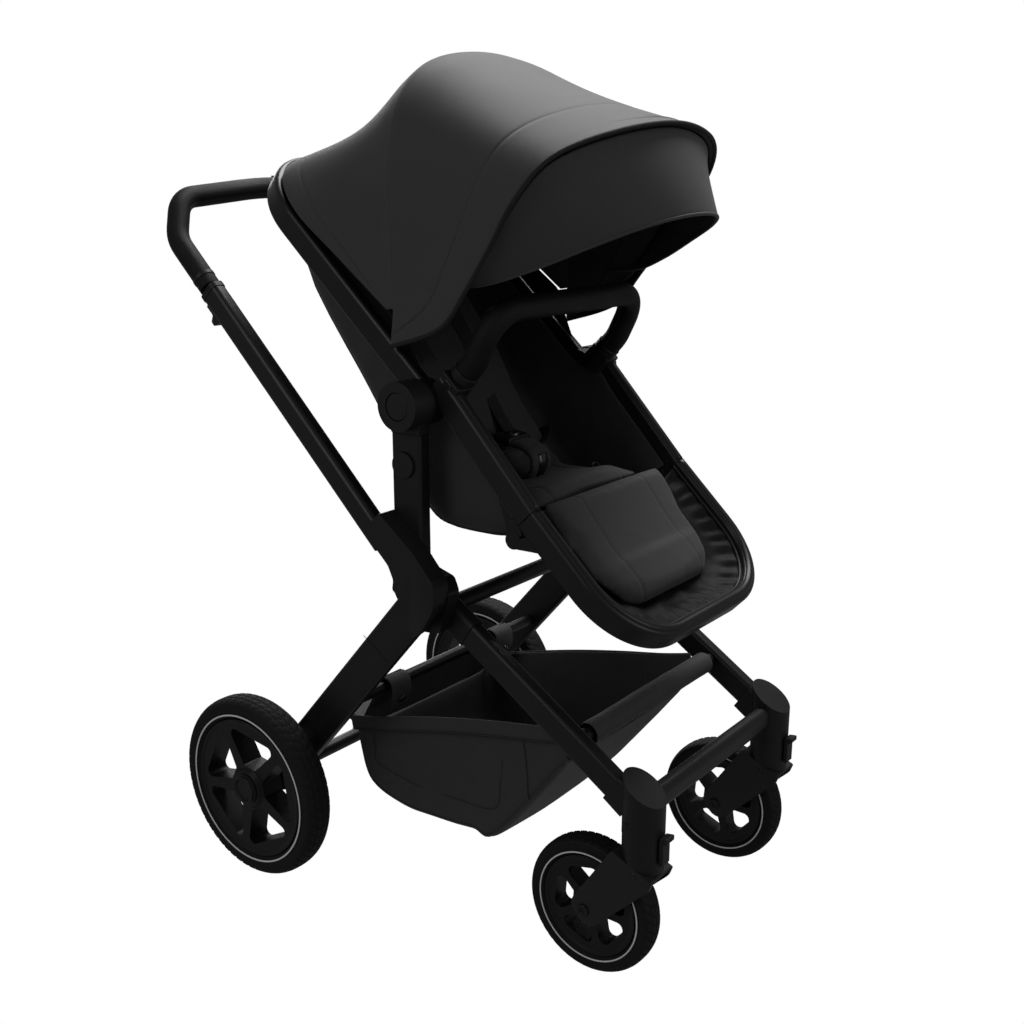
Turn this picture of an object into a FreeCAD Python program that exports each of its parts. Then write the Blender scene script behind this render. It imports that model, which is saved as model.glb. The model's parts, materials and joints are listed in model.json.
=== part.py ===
"""Baby stroller with a reversible seat unit on a folding chassis.

The frame is X across (the stroller's left is +X), -Y towards the front, +Z up,
and Z = 0 is the floor. The origin lies on the floor under the middle of the
stroller's length. Side outlines are written as (y, z) pairs with y measured from
the seat hub's end of the chassis, and `at` moves them into that frame.
"""
import FreeCAD, Part
import math
import os
import re
from FreeCAD import Placement, Rotation, Vector

doc = FreeCAD.newDocument("Stroller")
sheet = doc.addObject("Spreadsheet::Sheet", "Dimensions")

DIMENSIONS = [
    # alias, value, meaning (mm or degrees)
    ("centring", 63.8, "from the drawing's y origin to the middle of the stroller"),
    ("rear_tyre_radius", 140.0, "rear tyre, outer radius"),
    ("rear_tyre_width", 44.0, "rear tyre, width"),
    ("rear_rim_radius", 108.0, "rear rim, radius under the tyre"),
    ("rear_wheel_x", 283.0, "rear wheel, half track"),
    ("rear_axle_y", 290.0, "rear axle, y"),
    ("front_tyre_radius", 95.6, "front tyre, outer radius"),
    ("front_tyre_width", 35.0, "front tyre, width"),
    ("front_rim_radius", 71.0, "front rim, radius under the tyre"),
    ("caster_x", 181.0, "swivel axis, half track"),
    ("caster_y", -328.0, "swivel axis, y"),
    ("caster_trail", 72.0, "front axle behind the swivel axis"),
    ("caster_radius", 28.0, "caster housing and barrel, radius"),
    ("caster_joint_z", 223.0, "height of the joint between housing and barrel"),
    ("swivel_pin_radius", 8.0, "swivel pin"),
    ("running_gap", 0.05, "radial clearance of a pin in its bore"),
    ("wheel_pin_radius", 6.0, "wheel axle pin"),
    ("fold_y", -12.0, "chassis fold axis, y"),
    ("fold_z", 488.0, "chassis fold axis, height"),
    ("fold_pin_radius", 10.0, "chassis fold pin, radius"),
    ("brace_y", 4.0, "upper cross tube, y"),
    ("brace_z", 454.0, "upper cross tube, height"),
    ("brace_radius", 12.0, "upper cross tube, radius"),
    ("front_leg_x", 185.0, "front leg, half spacing"),
    ("front_leg_wide", 22.0, "front leg, width"),
    ("front_leg_tall", 38.0, "front leg, height of section"),
    ("rear_leg_x", 231.2, "rear leg, half spacing"),
    ("rear_leg_wide", 17.4, "rear leg, thickness"),
    ("rear_leg_tall", 55.0, "rear leg, height of section"),
    ("casting_in", 222.0, "hinge casting, inner face"),
    ("casting_wide", 30.0, "hinge casting, width"),
    ("casting_cheek", 11.0, "hinge casting, outer wall over the rear leg"),
    ("post_x", 211.0, "seat post, half spacing"),
    ("post_wide", 22.0, "seat post, width across"),
    ("post_deep", 50.0, "seat post, depth fore and aft"),
    ("post_y", 28.0, "seat post, centre fore and aft"),
    ("post_foot", 470.0, "seat post, foot"),
    ("post_top", 702.0, "seat post, top"),
    ("release_z", 660.0, "seat release button, height"),
    ("handle_x", 237.0, "handle tube, half spacing"),
    ("handle_tube_wide", 24.0, "handle outer tube, width"),
    ("handle_tube_tall", 36.0, "handle outer tube, height of section"),
    ("handle_bar_radius", 9.0, "telescopic handle bar, radius"),
    ("grip_radius", 16.0, "handle grip, radius"),
    ("tube_wall", 2.0, "wall of the frame tubes"),
    ("hub_y", 26.0, "seat hub axis, y"),
    ("hub_z", 741.0, "seat hub axis, height"),
    ("hub_radius", 33.0, "seat hub, radius"),
    ("hub_face", 240.0, "seat hub, outer face from the middle"),
    ("seat_rail_x", 184.0, "seat rail, half spacing"),
    ("seat_rail_wide", 20.0, "seat rail, width"),
    ("seat_rail_tall", 37.0, "seat rail, height of section"),
    ("back_angle", 42.0, "back frame above horizontal"),
    ("back_length", 433.0, "back frame, from the hub to the top bar"),
    ("leg_rest_angle", 43.5, "leg rest below horizontal"),
    ("bumper_radius", 17.0, "bumper bar, padded radius"),
    ("canopy_y", 62.0, "canopy pivot, y"),
    ("canopy_z", 850.0, "canopy pivot, height"),
    ("canopy_skin", 3.0, "canopy cloth with its binding, thickness"),
    ("basket_half", 165.0, "basket, half width"),
    ("cloth", 3.0, "basket and seat cloth, thickness"),
]
for row, (alias, value, meaning) in enumerate(DIMENSIONS, start=1):
    sheet.set(f"A{row}", meaning)
    sheet.set(f"B{row}", str(value))
    sheet.setAlias(f"B{row}", alias)
doc.recompute()

SIDES = (("left", 1), ("right", -1))
ACROSS = Vector(1, 0, 0)
BACK = Vector(0, 1, 0)
UP = Vector(0, 0, 1)
nodes = []


def size(alias):
    return float(getattr(sheet, alias))


def at(x, y, z):
    """A point of the drawing, moved into the stroller's frame."""
    return Vector(x, y - size("centring"), z)


def bind(thing, prop, formula):
    """Drive a property from the sheet; each word in the formula is an alias."""
    thing.setExpression(prop, re.sub(r"[a-z][a-z_]+", r"Dimensions.\g<0>", formula))


def node(name, thing):
    """Mark an object as one of the stroller's sub-parts."""
    thing.Label = name
    nodes.append(thing)
    return thing


# ---------------------------------------------------------------- building blocks

def rounded(corners, closed=True):
    """Straight runs between (point, radius) corners, rounded by tangent arcs."""
    count = len(corners)
    turns = []
    for i, (corner, radius) in enumerate(corners):
        if radius == 0 or (not closed and i in (0, count - 1)):
            turns.append((corner, None, corner))
            continue
        before = (corners[i - 1][0] - corner).normalize()
        after = (corners[(i + 1) % count][0] - corner).normalize()
        half = before.getAngle(after) / 2
        reach = radius / math.tan(half)
        sagitta = radius / math.sin(half) - radius
        middle = corner + (before + after).normalize() * sagitta
        turns.append((corner + before * reach, middle, corner + after * reach))
    edges = []
    for i, (entry, middle, leave) in enumerate(turns):
        if middle is not None:
            edges.append(Part.Arc(entry, middle, leave))
        if closed or i < count - 1:
            end = turns[(i + 1) % count][0]
            if (end - leave).Length > 1e-4:
                edges.append(Part.LineSegment(leave, end))
    return edges


def flat(outline):
    """Sketch edges of an outline given as (u, v, corner radius)."""
    return rounded([(Vector(u, v, 0), radius) for u, v, radius in outline])


def oblong(wide, tall, radius):
    """Outline of a rectangle about the origin with rounded corners."""
    u, v = wide / 2, tall / 2
    return [(-u, -v, radius), (u, -v, radius), (u, v, radius), (-u, v, radius)]


def body_at(name, origin, u_axis, v_axis):
    body = doc.addObject("PartDesign::Body", name + "_body")
    turn = Rotation(u_axis, v_axis, u_axis.cross(v_axis), "ZXY")
    body.Placement = Placement(origin, turn)
    return body


def sketch_in(body, geometry):
    """A sketch on the body's own base plane."""
    sketch = body.newObject("Sketcher::SketchObject", body.Name + "_sketch")
    plane = [f for f in body.Origin.OriginFeatures if f.Role == "XY_Plane"][0]
    sketch.AttachmentSupport = [(plane, "")]
    sketch.MapMode = "FlatFace"
    for edge in geometry:
        sketch.addGeometry(edge, False)
    return sketch


def padded(name, origin, u_axis, v_axis, geometry, length):
    """A sketch padded along the third axis by a length worked out from the sheet."""
    body = body_at(name, origin, u_axis, v_axis)
    pad = body.newObject("PartDesign::Pad", name + "_pad")
    pad.Profile = sketch_in(body, geometry)
    if isinstance(length, str):
        bind(pad, "Length", length)
    else:
        pad.Length = length
    body.Tip = pad
    return body


def side_plate(name, outline, x, length):
    """A plate with a (y, z, radius) outline, from x towards +X."""
    return padded(name, at(x, 0, 0), BACK, UP, flat(outline), length)


def tube(name, start, end, outline, wall=None):
    """A straight tube whose section's u axis is X; hollow when a wall is given."""
    along = (end - start).normalize()
    geometry = flat(outline)
    if wall:
        geometry += flat([(u - math.copysign(wall, u), v - math.copysign(wall, v), max(r - wall, 1.0))
                          for u, v, r in outline])
    return padded(name, start, ACROSS, along.cross(ACROSS), geometry, (end - start).Length)


def rod(name, start, end, radius):
    """A round bar from start to end."""
    bar = doc.addObject("Part::Cylinder", name + "_rod")
    bind(bar, "Radius", radius)
    bar.Height = (end - start).Length
    bar.Placement = Placement(start, Rotation(UP, end - start))
    return bar


def rod_across(name, x_from, x_to, y, z, radius):
    return rod(name, at(min(x_from, x_to), y, z), at(max(x_from, x_to), y, z), radius)


def block(name, corner, far):
    """A box between two corners given as (x, y, z) of the drawing."""
    low = at(*[min(a, b) for a, b in zip(corner, far)])
    high = at(*[max(a, b) for a, b in zip(corner, far)])
    box = doc.addObject("Part::Box", name + "_box")
    box.Length, box.Width, box.Height = high - low
    box.Placement.Base = low
    return box


def turned(name, centre, profile):
    """A solid of revolution about X; the profile is (x, radius, corner radius)."""
    body = body_at(name, centre, ACROSS, UP)
    sketch = sketch_in(body, flat(profile))
    turn = body.newObject("PartDesign::Revolution", name + "_turn")
    turn.Profile = sketch
    turn.ReferenceAxis = (sketch, ["H_Axis"])
    turn.Angle = 360.0
    body.Tip = turn
    return body


def swept(name, corners, section, u_axis):
    """A section swept along rounded runs; u_axis is the section's own first axis."""
    path = doc.addObject("Part::Feature", name + "_path")
    path.Shape = Part.Wire([edge.toShape() for edge in rounded(corners, closed=False)])
    along = (corners[1][0] - corners[0][0]).normalize()
    profile = doc.addObject("Sketcher::SketchObject", name + "_section")
    profile.Placement = Placement(corners[0][0], Rotation(u_axis, along.cross(u_axis), along, "ZXY"))
    for edge in section:
        profile.addGeometry(edge, False)
    sweep = doc.addObject("Part::Sweep", name + "_sweep")
    sweep.Sections = [profile]
    sweep.Spine = (path, [f"Edge{i + 1}" for i in range(len(path.Shape.Edges))])
    sweep.Solid = True
    sweep.Frenet = False
    return sweep


def ring(radius):
    return [Part.Circle(Vector(0, 0, 0), UP, radius)]


def fused(name, *pieces):
    whole = doc.addObject("Part::MultiFuse", name + "_fuse")
    whole.Shapes = list(pieces)
    return whole


def cut(name, base, *tools):
    tool = tools[0] if len(tools) == 1 else fused(name + "_tools", *tools)
    result = doc.addObject("Part::Cut", name + "_cut")
    result.Base = base
    result.Tool = tool
    return result


def group(name, *pieces):
    """Separate solids that share one sub-part."""
    both = doc.addObject("Part::Compound", name + "_group")
    both.Links = list(pieces)
    return both


# ---------------------------------------------------------------- wheels

def rim(name, x, y, radius, width, hub):
    """A moulded rim: barrel, deep web with five windows, and a hub with its bore."""
    bore = size("wheel_pin_radius") + size("running_gap")
    lip, web, hub_half = 6.5, width / 2 - 4.5, width / 2 + 1
    profile = [(-hub_half, bore, 0), (hub_half, bore, 0), (hub_half, hub, 3), (web, hub + 4, 3),
               (web, radius - lip, 3), (width / 2 - 3, radius - lip + 3, 2), (width / 2 - 3, radius, 0),
               (-width / 2 + 3, radius, 0), (-width / 2 + 3, radius - lip + 3, 2), (-web, radius - lip, 3),
               (-web, hub + 4, 3), (-hub_half, hub, 3)]
    centre = at(x, y, size("rear_tyre_radius") if radius > 90 else size("front_tyre_radius"))
    wheel = turned(name, centre, profile)
    doc.recompute()
    spokes = 5
    turn = math.radians(10.0 if radius > 90 else 31.5)
    inner, outer = hub + 8, radius - lip - 1
    half_angle = math.pi / spokes
    window = []
    for r, sign, corner in ((inner, -1, 3), (outer, -1, 9), (outer, 1, 9), (inner, 1, 3)):
        spoke_half = (0.095 if r == inner else 0.062) * radius
        swing = sign * (half_angle - spoke_half / r) + turn
        window.append((r * math.sin(swing), r * math.cos(swing), corner))
    cutter = wheel.newObject("Sketcher::SketchObject", name + "_window")
    plane = [f for f in wheel.Origin.OriginFeatures if f.Role == "YZ_Plane"][0]
    cutter.AttachmentSupport = [(plane, "")]
    cutter.MapMode = "FlatFace"
    for edge in flat(window):
        cutter.addGeometry(edge, False)
    pocket = wheel.newObject("PartDesign::Pocket", name + "_pocket")
    pocket.Profile = cutter
    pocket.Type = "ThroughAll"
    pocket.Midplane = True
    wheel.Tip = pocket
    doc.recompute()
    pattern = wheel.newObject("PartDesign::PolarPattern", name + "_pattern")
    pattern.Originals = [pocket]
    axis = [f for f in wheel.Origin.OriginFeatures if f.Role == "X_Axis"][0]
    pattern.Axis = (axis, [""])
    pattern.Angle = 360
    pattern.Occurrences = spokes
    wheel.Tip = pattern
    return node(name, wheel)


def tyre(name, x, y, radius, rim_radius, width):
    half = width / 2
    shoulder = 0.45 * (radius - rim_radius)
    profile = [(-half + 3, rim_radius, 0), (half - 3, rim_radius, 0), (half, rim_radius + 3, 2),
               (half, radius - shoulder, shoulder * 0.6), (half * 0.35, radius, half * 0.5),
               (-half * 0.35, radius, half * 0.5), (-half, radius - shoulder, shoulder * 0.6),
               (-half, rim_radius + 3, 2)]
    return node(name, turned(name, at(x, y, radius), profile))


def rear_wheel(label, s):
    x, y = s * size("rear_wheel_x"), size("rear_axle_y")
    radius, width = size("rear_tyre_radius"), size("rear_tyre_width")
    rim(f"rear_rim_{label}", x, y, size("rear_rim_radius"), width, 28.0)
    tyre(f"rear_tyre_{label}", x, y, radius, size("rear_rim_radius"), width)
    face = width / 2 + 1
    cap = [(face, 0, 0), (face, 24, 0), (face + 2, 24, 1), (face + 3, 20, 1), (face + 3, 0, 0)]
    if s < 0:
        cap = [(-u, v, r) for u, v, r in reversed(cap)]
    node(f"rear_hub_cap_{label}", turned(f"rear_hub_cap_{label}", at(x, y, radius), cap))


def front_wheel(label, s):
    x, y = s * size("caster_x"), size("caster_y") + size("caster_trail")
    radius, width = size("front_tyre_radius"), size("front_tyre_width")
    rim(f"front_rim_{label}", x, y, size("front_rim_radius"), width, 20.0)
    tyre(f"front_tyre_{label}", x, y, radius, size("front_rim_radius"), width)


# ---------------------------------------------------------------- casters

BARREL_FOOT = ((-372.0, 165.0), (-290.0, 200.5))
CAP_SLOPE = ((-372.0, 256.0), (-284.0, 313.5))


def half_space(name, line, x, above):
    """A block on one side of a slanted (y, z) line, used to cut a slanted end."""
    (y0, z0), (y1, z1) = line
    reach = 200 if above else -200
    outline = [(y0, z0, 0), (y1, z1, 0), (y1, z1 + reach, 0), (y0, z0 + reach, 0)]
    return side_plate(name, outline, x - 60, 120)


def caster_housing(label, s, leg_tool, bar_tool):
    name = f"caster_housing_{label}"
    x, y, joint = s * size("caster_x"), size("caster_y"), size("caster_joint_z")
    shell = rod(name, at(x, y, joint), at(x, y, 320), "caster_radius")
    pin_bore = rod(name + "_bore", at(x, y, joint - 1), at(x, y, joint + 34), "swivel_pin_radius + running_gap")
    collar = tube(name + "_collar", at(x, -312, 258), at(x, -286, 276), oblong(30, 46, 7))
    whole = fused(name, shell, collar)
    slope = half_space(name + "_slope", CAP_SLOPE, x, True)
    node(name, cut(name, whole, pin_bore, slope, leg_tool, bar_tool))


def caster(label, s):
    x, y = s * size("caster_x"), size("caster_y")
    top = size("caster_joint_z") - 0.4
    axle_y, axle_z = y + size("caster_trail"), size("front_tyre_radius")
    barrel = rod(f"caster_barrel_{label}", at(x, y, 150), at(x, y, top), "caster_radius - 0.5")
    pin = rod(f"swivel_pin_{label}", at(x, y, top - 5), at(x, y, top + 33), "swivel_pin_radius")
    foot = half_space(f"caster_foot_{label}", BARREL_FOOT, x, False)
    node(f"caster_barrel_{label}", cut(f"caster_barrel_{label}",
                                       fused(f"caster_barrel_{label}", barrel, pin), foot))

    # Fork: a bridge under the barrel and a plate down each side of the wheel.
    inner, outer = size("front_tyre_width") / 2 + 4, size("front_tyre_width") / 2 + 9.5
    cheek = [(-297, 197.4, 2), (-232, 99, 19), (-262, 67, 19), (-353, 158, 7), (-358, 171.0, 2)]
    bridge = [(-297, 197.4, 1), (-300, 188, 4), (-338, 170, 4), (-352, 163, 3), (-358, 171.0, 2)]
    plates = [side_plate(f"fork_cheek_{label}_{i}", cheek, x + start, outer - inner)
              for i, start in enumerate((inner, -outer))]
    cross = side_plate(f"fork_bridge_{label}", bridge, x - inner, 2 * inner)
    eye = rod_across(f"fork_eye_{label}", x - 40, x + 40, axle_y, axle_z, "wheel_pin_radius")
    node(f"caster_fork_{label}", cut(f"caster_fork_{label}", fused(f"caster_fork_{label}", cross, *plates), eye))

    shaft = rod_across(f"front_axle_{label}", x - outer, x + outer, axle_y, axle_z, "wheel_pin_radius")
    heads = [turned(f"front_axle_head_{label}_{sign}", at(x, axle_y, axle_z),
                    sorted_profile(sign, outer, ((0, 0), (0, 9), (3, 8), (3, 3.5), (1.5, 3.5), (1.5, 0))))
             for sign in (1, -1)]
    node(f"front_axle_bolt_{label}", fused(f"front_axle_bolt_{label}", shaft, *heads))

    # Swivel lock: a slider on the barrel's front with a tab to pull it up by.
    front = y - size("caster_radius") - 0.3
    slider = [(front, 188, 0), (front, 227, 2), (front - 12, 229, 2), (front - 12, 222, 2),
              (front - 6, 218, 2), (front - 6, 188, 2)]
    node(f"swivel_lock_{label}", side_plate(f"swivel_lock_{label}", slider, x - 9, 18))


def sorted_profile(sign, start, steps):
    """A turned profile that starts at a face and grows away from the middle."""
    points = [(sign * (start + u), r, 0) for u, r in steps]
    return points if sign > 0 else list(reversed(points))


# ---------------------------------------------------------------- chassis

LEG_TOP, LEG_FOOT = (-8.0, 458.5), (-318.0, 257.0)


def front_leg_tube(name, x, grow=0.0, wall=None):
    section = oblong(size("front_leg_wide") + grow, size("front_leg_tall") + grow, 7)
    return tube(name, at(x, *LEG_TOP), at(x, *LEG_FOOT), section, wall)


def fold_rod(name, x_from, x_to, radius="fold_pin_radius"):
    return rod_across(name, x_from, x_to, size("fold_y"), size("fold_z"), radius)


def brace_rod(name, x_from, x_to, radius="brace_radius"):
    return rod_across(name, x_from, x_to, size("brace_y"), size("brace_z"), radius)


def front_frame():
    bar_y, bar_z = -327.0, 258.0
    half = size("caster_x")
    bar_section = oblong(24, 34, 11.5)
    bar = padded("front_cross_bar", at(-half, bar_y, bar_z), BACK, UP, flat(bar_section), 2 * half)
    bar_tool = padded("front_cross_bar_tool", at(-half, bar_y, bar_z), BACK, UP, flat(bar_section), 2 * half)
    trims, brackets = [], []
    for label, s in SIDES:
        x = s * size("front_leg_x")
        caster_housing(label, s, front_leg_tube(f"leg_tool_{label}", x), bar_tool)
        centre = (s * size("caster_x"), size("caster_y"))
        trims.append(rod(f"bar_trim_{label}", at(*centre, 200), at(*centre, 300), "caster_radius - 4"))
        leg_trim = rod(f"leg_trim_{label}", at(*centre, 200), at(*centre, 330), "caster_radius - 6")
        sleeve = tube(f"leg_sleeve_{label}", at(x, 8, 469), at(x, -52, 430), oblong(26, 42, 8))
        eye = brace_rod(f"leg_eye_{label}", x - 30, x + 30)
        leg = front_leg_tube(f"front_leg_{label}", x, wall=size("tube_wall"))
        inner = front_leg_tube(f"leg_bore_{label}", x)
        collar, clear, gap = [brace_rod(f"leg_{part}_{label}", x - half, x + half, "brace_radius + 9")
                              for part, half in (("collar", 13), ("clear", 13), ("gap", 14))]
        node(f"front_leg_{label}", cut(f"front_leg_{label}", leg, leg_trim, clear))
        core = cut(f"leg_core_{label}", inner, gap)
        brackets.append(cut(f"leg_bracket_{label}", fused(f"leg_bracket_{label}", sleeve, collar), eye, core))
    node("leg_brackets", group("leg_brackets", *brackets))
    node("front_cross_bar", cut("front_cross_bar", bar, *trims))
    node("upper_cross_tube", brace_rod("upper_cross_tube", -size("casting_in"), size("casting_in")))


CASTING = [(82, 569, 3), (51, 597, 3), (-8, 552, 25), (-43, 514, 22), (-41, 478, 30), (-20, 444, 14),
           (-2, 430, 6), (6, 463, 18), (22, 492, 8), (31, 490, 5), (28, 508, 12), (37, 527, 20)]


def handle_axis(along):
    """A (y, z) point on the handle tube's centre line, from the casting's top."""
    start, slope = Vector(76, 573, 0), math.radians(44.6)
    return start.x + along * math.cos(slope), start.y + along * math.sin(slope)


HANDLE_TUBE_LENGTH = 425.0
TUBE_IN_CASTING = 30.0
TRIGGER_AT = (372.0, 415.0)


POST_FOOT = [(3, 535, 0), (-4, 522, 3), (-36, 513, 10), (-44, 494, 12), (-26, 434, 10), (26, 430, 12),
             (53, 476, 0), (53, 535, 0)]


def tongue_space(name, x, gap, low, high):
    """The seat adapter's tongue, or with a gap the socket that it stands in."""
    half, deep = 5 + gap, 18 + gap
    return block(name + "_tongue", (x - half, size("post_y") - deep, low), (x + half, size("post_y") + deep, high))


def castings_and_posts():
    for label, s in SIDES:
        wide = size("casting_wide")
        x = size("casting_in") if s > 0 else -size("casting_in") - wide
        name = f"hinge_casting_{label}"
        shell = side_plate(name, CASTING, x, "casting_wide")
        # The rear leg's round head and its whole swing are cut out of the casting's inner side.
        leg_space = size("casting_wide") - size("casting_cheek")
        start = s * size("casting_in")
        head = fold_rod(name + "_head", start - s, start + s * leg_space, "rear_leg_tall / 2 + 1")
        swing = [(9, 507, 0), (140, 360, 0), (60, 300, 0), (-100, 300, 0), (-40, 496, 0)]
        cutter = side_plate(name + "_swing", swing, min(start - s, start + s * leg_space), leg_space + 1)
        pin = fold_rod(name + "_pin", start, start + s * (leg_space + 2))
        section = oblong(size("handle_tube_wide"), size("handle_tube_tall"), 9)
        socket = tube(name + "_socket", at(s * size("handle_x"), *handle_axis(-TUBE_IN_CASTING)),
                      at(s * size("handle_x"), *handle_axis(30)), section)
        node(name, fused(name, cut(name, shell, head, cutter, socket), pin))

        name = f"seat_post_{label}"
        x = s * size("post_x")
        half, middle = size("post_wide") / 2, size("post_y")
        column = padded(name, at(x, middle, size("post_foot")), ACROSS, BACK,
                        flat(oblong(size("post_wide"), size("post_deep"), 5)), "post_top - post_foot")
        foot = side_plate(name + "_foot", POST_FOOT, x - half, "post_wide")
        eye = brace_rod(name + "_eye", x - 20, x + 20)
        recess = rod_across(name + "_recess", x + s * 6, x + s * 12, middle + 3, size("release_z"), "18.4")
        node(name, cut(name, fused(name, column, foot), tongue_space(name, x, 0.3, 676, 720), eye, recess))

        name = f"seat_release_button_{label}"
        face = s * (size("post_x") + half)
        node(name, rod_across(name, face - s * 1.5, face + s * 4, middle + 3, size("release_z"), "18"))

        name = f"handle_outer_tube_{label}"
        x = s * size("handle_x")
        outer = tube(name, at(x, *handle_axis(-TUBE_IN_CASTING)), at(x, *handle_axis(HANDLE_TUBE_LENGTH)), section,
                     size("tube_wall"))
        slot = tube(name + "_slot", at(x, *handle_axis(TRIGGER_AT[0] - 2)), at(x, *handle_axis(TRIGGER_AT[1] + 2)),
                    oblong(14.6, 44, 2))
        lower = half_section(name + "_lower", x)
        node(name, cut(name, outer, common(name + "_slot", slot, lower)))
        name = f"fold_trigger_{label}"
        node(name, fold_trigger(name, x))


def common(name, *pieces):
    overlap = doc.addObject("Part::MultiCommon", name + "_common")
    overlap.Shapes = list(pieces)
    return overlap


def half_section(name, x):
    """The half of the handle tube's length that faces down and forwards."""
    (y0, z0), (y1, z1) = handle_axis(TRIGGER_AT[0] - 40), handle_axis(TRIGGER_AT[1] + 40)
    return side_plate(name, [(y0, z0, 0), (y1, z1, 0), (y1 + 40, z1 - 40, 0), (y0 + 40, z0 - 40, 0)], x - 30, 60)


def fold_trigger(name, x):
    """A slider in the tube's underside with a thumb tab on its lower end."""
    def point(along, below, radius):
        y, z = handle_axis(along)
        slope = math.radians(44.6)
        return y + below * math.sin(slope), z - below * math.cos(slope), radius
    start, end = TRIGGER_AT
    outline = [point(start + 10, 16.2, 1), point(end, 16.2, 1), point(end, 21, 2), point(start + 26, 21, 3),
               point(start + 22, 30, 2), point(start + 14, 31, 2), point(start + 10, 21, 2)]
    return side_plate(name, outline, x - 7, 14)


# ---------------------------------------------------------------- rear frame

def rear_frame():
    fold = (size("fold_y"), size("fold_z"))
    axle = (size("rear_axle_y"), size("rear_tyre_radius"))
    for label, s in SIDES:
        name = f"rear_leg_{label}"
        x = s * size("rear_leg_x")
        section = oblong(size("rear_leg_wide"), size("rear_leg_tall"), 5)
        stem = tube(name, at(x, *fold), at(x, *axle), section)
        half = size("rear_leg_wide") / 2
        head = rod_across(name + "_head", x - half, x + half, *fold, "rear_leg_tall / 2")
        foot = rod_across(name + "_foot", x - half, x + half, *axle, "rear_leg_tall / 2")
        eye = fold_rod(name + "_eye", x - 20, x + 20, "fold_pin_radius + running_gap")
        seat = rod_across(name + "_seat", x - 20, x + 20, *axle, "wheel_pin_radius")
        node(name, cut(name, fused(name, stem, head, foot), eye, seat))
    inner = size("rear_leg_x") - size("rear_leg_wide") / 2
    node("rear_axle_tube", cut("rear_axle_tube", rod_across("rear_axle_tube", -inner, inner, *axle, "11"),
                               rod_across("rear_axle_tube_pins", -inner - 1, inner + 1, *axle, "wheel_pin_radius")))
    node("basket_rear_tube", rod_across("basket_rear_tube", -inner, inner, 150, 288, "9"))
    tip = size("rear_wheel_x") + size("rear_tyre_width") / 2
    node("rear_wheel_axle", rod_across("rear_wheel_axle", -tip, tip, *axle, "wheel_pin_radius"))
    pedal = [(axle[0] - 17, axle[1] + 6, 4), (axle[0] + 17, axle[1] + 9, 4), (axle[0] + 74, axle[1] + 22, 4),
             (axle[0] + 76, axle[1] + 14, 3), (axle[0] + 17, axle[1] - 14, 6), (axle[0] - 17, axle[1] - 14, 6)]
    lever = side_plate("brake_pedal", pedal, -32, 64)
    bore = rod_across("brake_pedal_bore", -40, 40, *axle, "11 + running_gap")
    node("brake_pedal", cut("brake_pedal", lever, bore))


# ---------------------------------------------------------------- handle

def handle_bar():
    x = size("handle_x")
    knee, top = handle_axis(526), (475.0, 999.0)
    def run(sign):
        return [(at(sign * x, *handle_axis(180)), 0), (at(sign * x, *knee), 60),
                (at(sign * 208, *top), 45)]
    middle = [(at(0, 484, 1018), 900)]
    corners = run(-1) + middle + list(reversed(run(1)))
    bar = swept("handle_bar", corners, ring(size("handle_bar_radius")), ACROSS)
    cover = [(at(-x, *handle_axis(HANDLE_TUBE_LENGTH + 6)), 0)] + corners[1:-1]
    cover += [(at(x, *handle_axis(HANDLE_TUBE_LENGTH + 6)), 0)]
    grip = swept("handle_grip", cover, ring(size("grip_radius")), ACROSS)
    core = swept("handle_core", corners, ring(size("handle_bar_radius")), ACROSS)
    button_hole = block("height_button_hole", (-16.3, 471.7, 1014), (16.3, 488.3, 1060))
    node("handle_bar", bar)
    node("handle_grip", cut("handle_grip", grip, core, button_hole))
    node("handle_height_button", block("handle_height_button", (-16, 472, 1027), (16, 488, 1032)))


# ---------------------------------------------------------------- seat unit

def seat_mounts():
    hub, face = (size("hub_y"), size("hub_z")), size("hub_face")
    for label, s in SIDES:
        name = f"seat_adapter_{label}"
        x = s * size("post_x")
        inner = s * (size("post_x") - size("post_wide") / 2)
        disc = rod_across(name, inner, s * size("hub_face"), *hub, "hub_radius")
        neck = block(name + "_neck", (x - 11, size("post_y") - 24, size("post_top") + 0.4),
                     (x + 11, size("post_y") + 24, hub[1]))
        tongue = tongue_space(name, x, 0, 684, 712)
        bore = rod_across(name + "_bore", inner - s, s * (face - 12), *hub, "10 + running_gap")
        recess = rod_across(name + "_recess", s * (face - 16), s * (face + 1), *hub, "19")
        node(name, cut(name, fused(name, disc, neck, tongue), bore, recess))
        name = f"recline_button_{label}"
        button = [(0, 0), (0, 18.5), (9, 18.5), (10, 17), (10, 0)]
        node(name, turned(name, at(0, *hub), sorted_profile(s, face - 10.5, button)))


def rail_point(along, above=0.0):
    """A (y, z) point on the front rails' ridge line, from beside the hub down."""
    slope = math.radians(47.0)
    start = Vector(-5, 788, 0)
    return (start.x - along * math.cos(slope) - above * math.sin(slope),
            start.y - along * math.sin(slope) + above * math.cos(slope))


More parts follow.
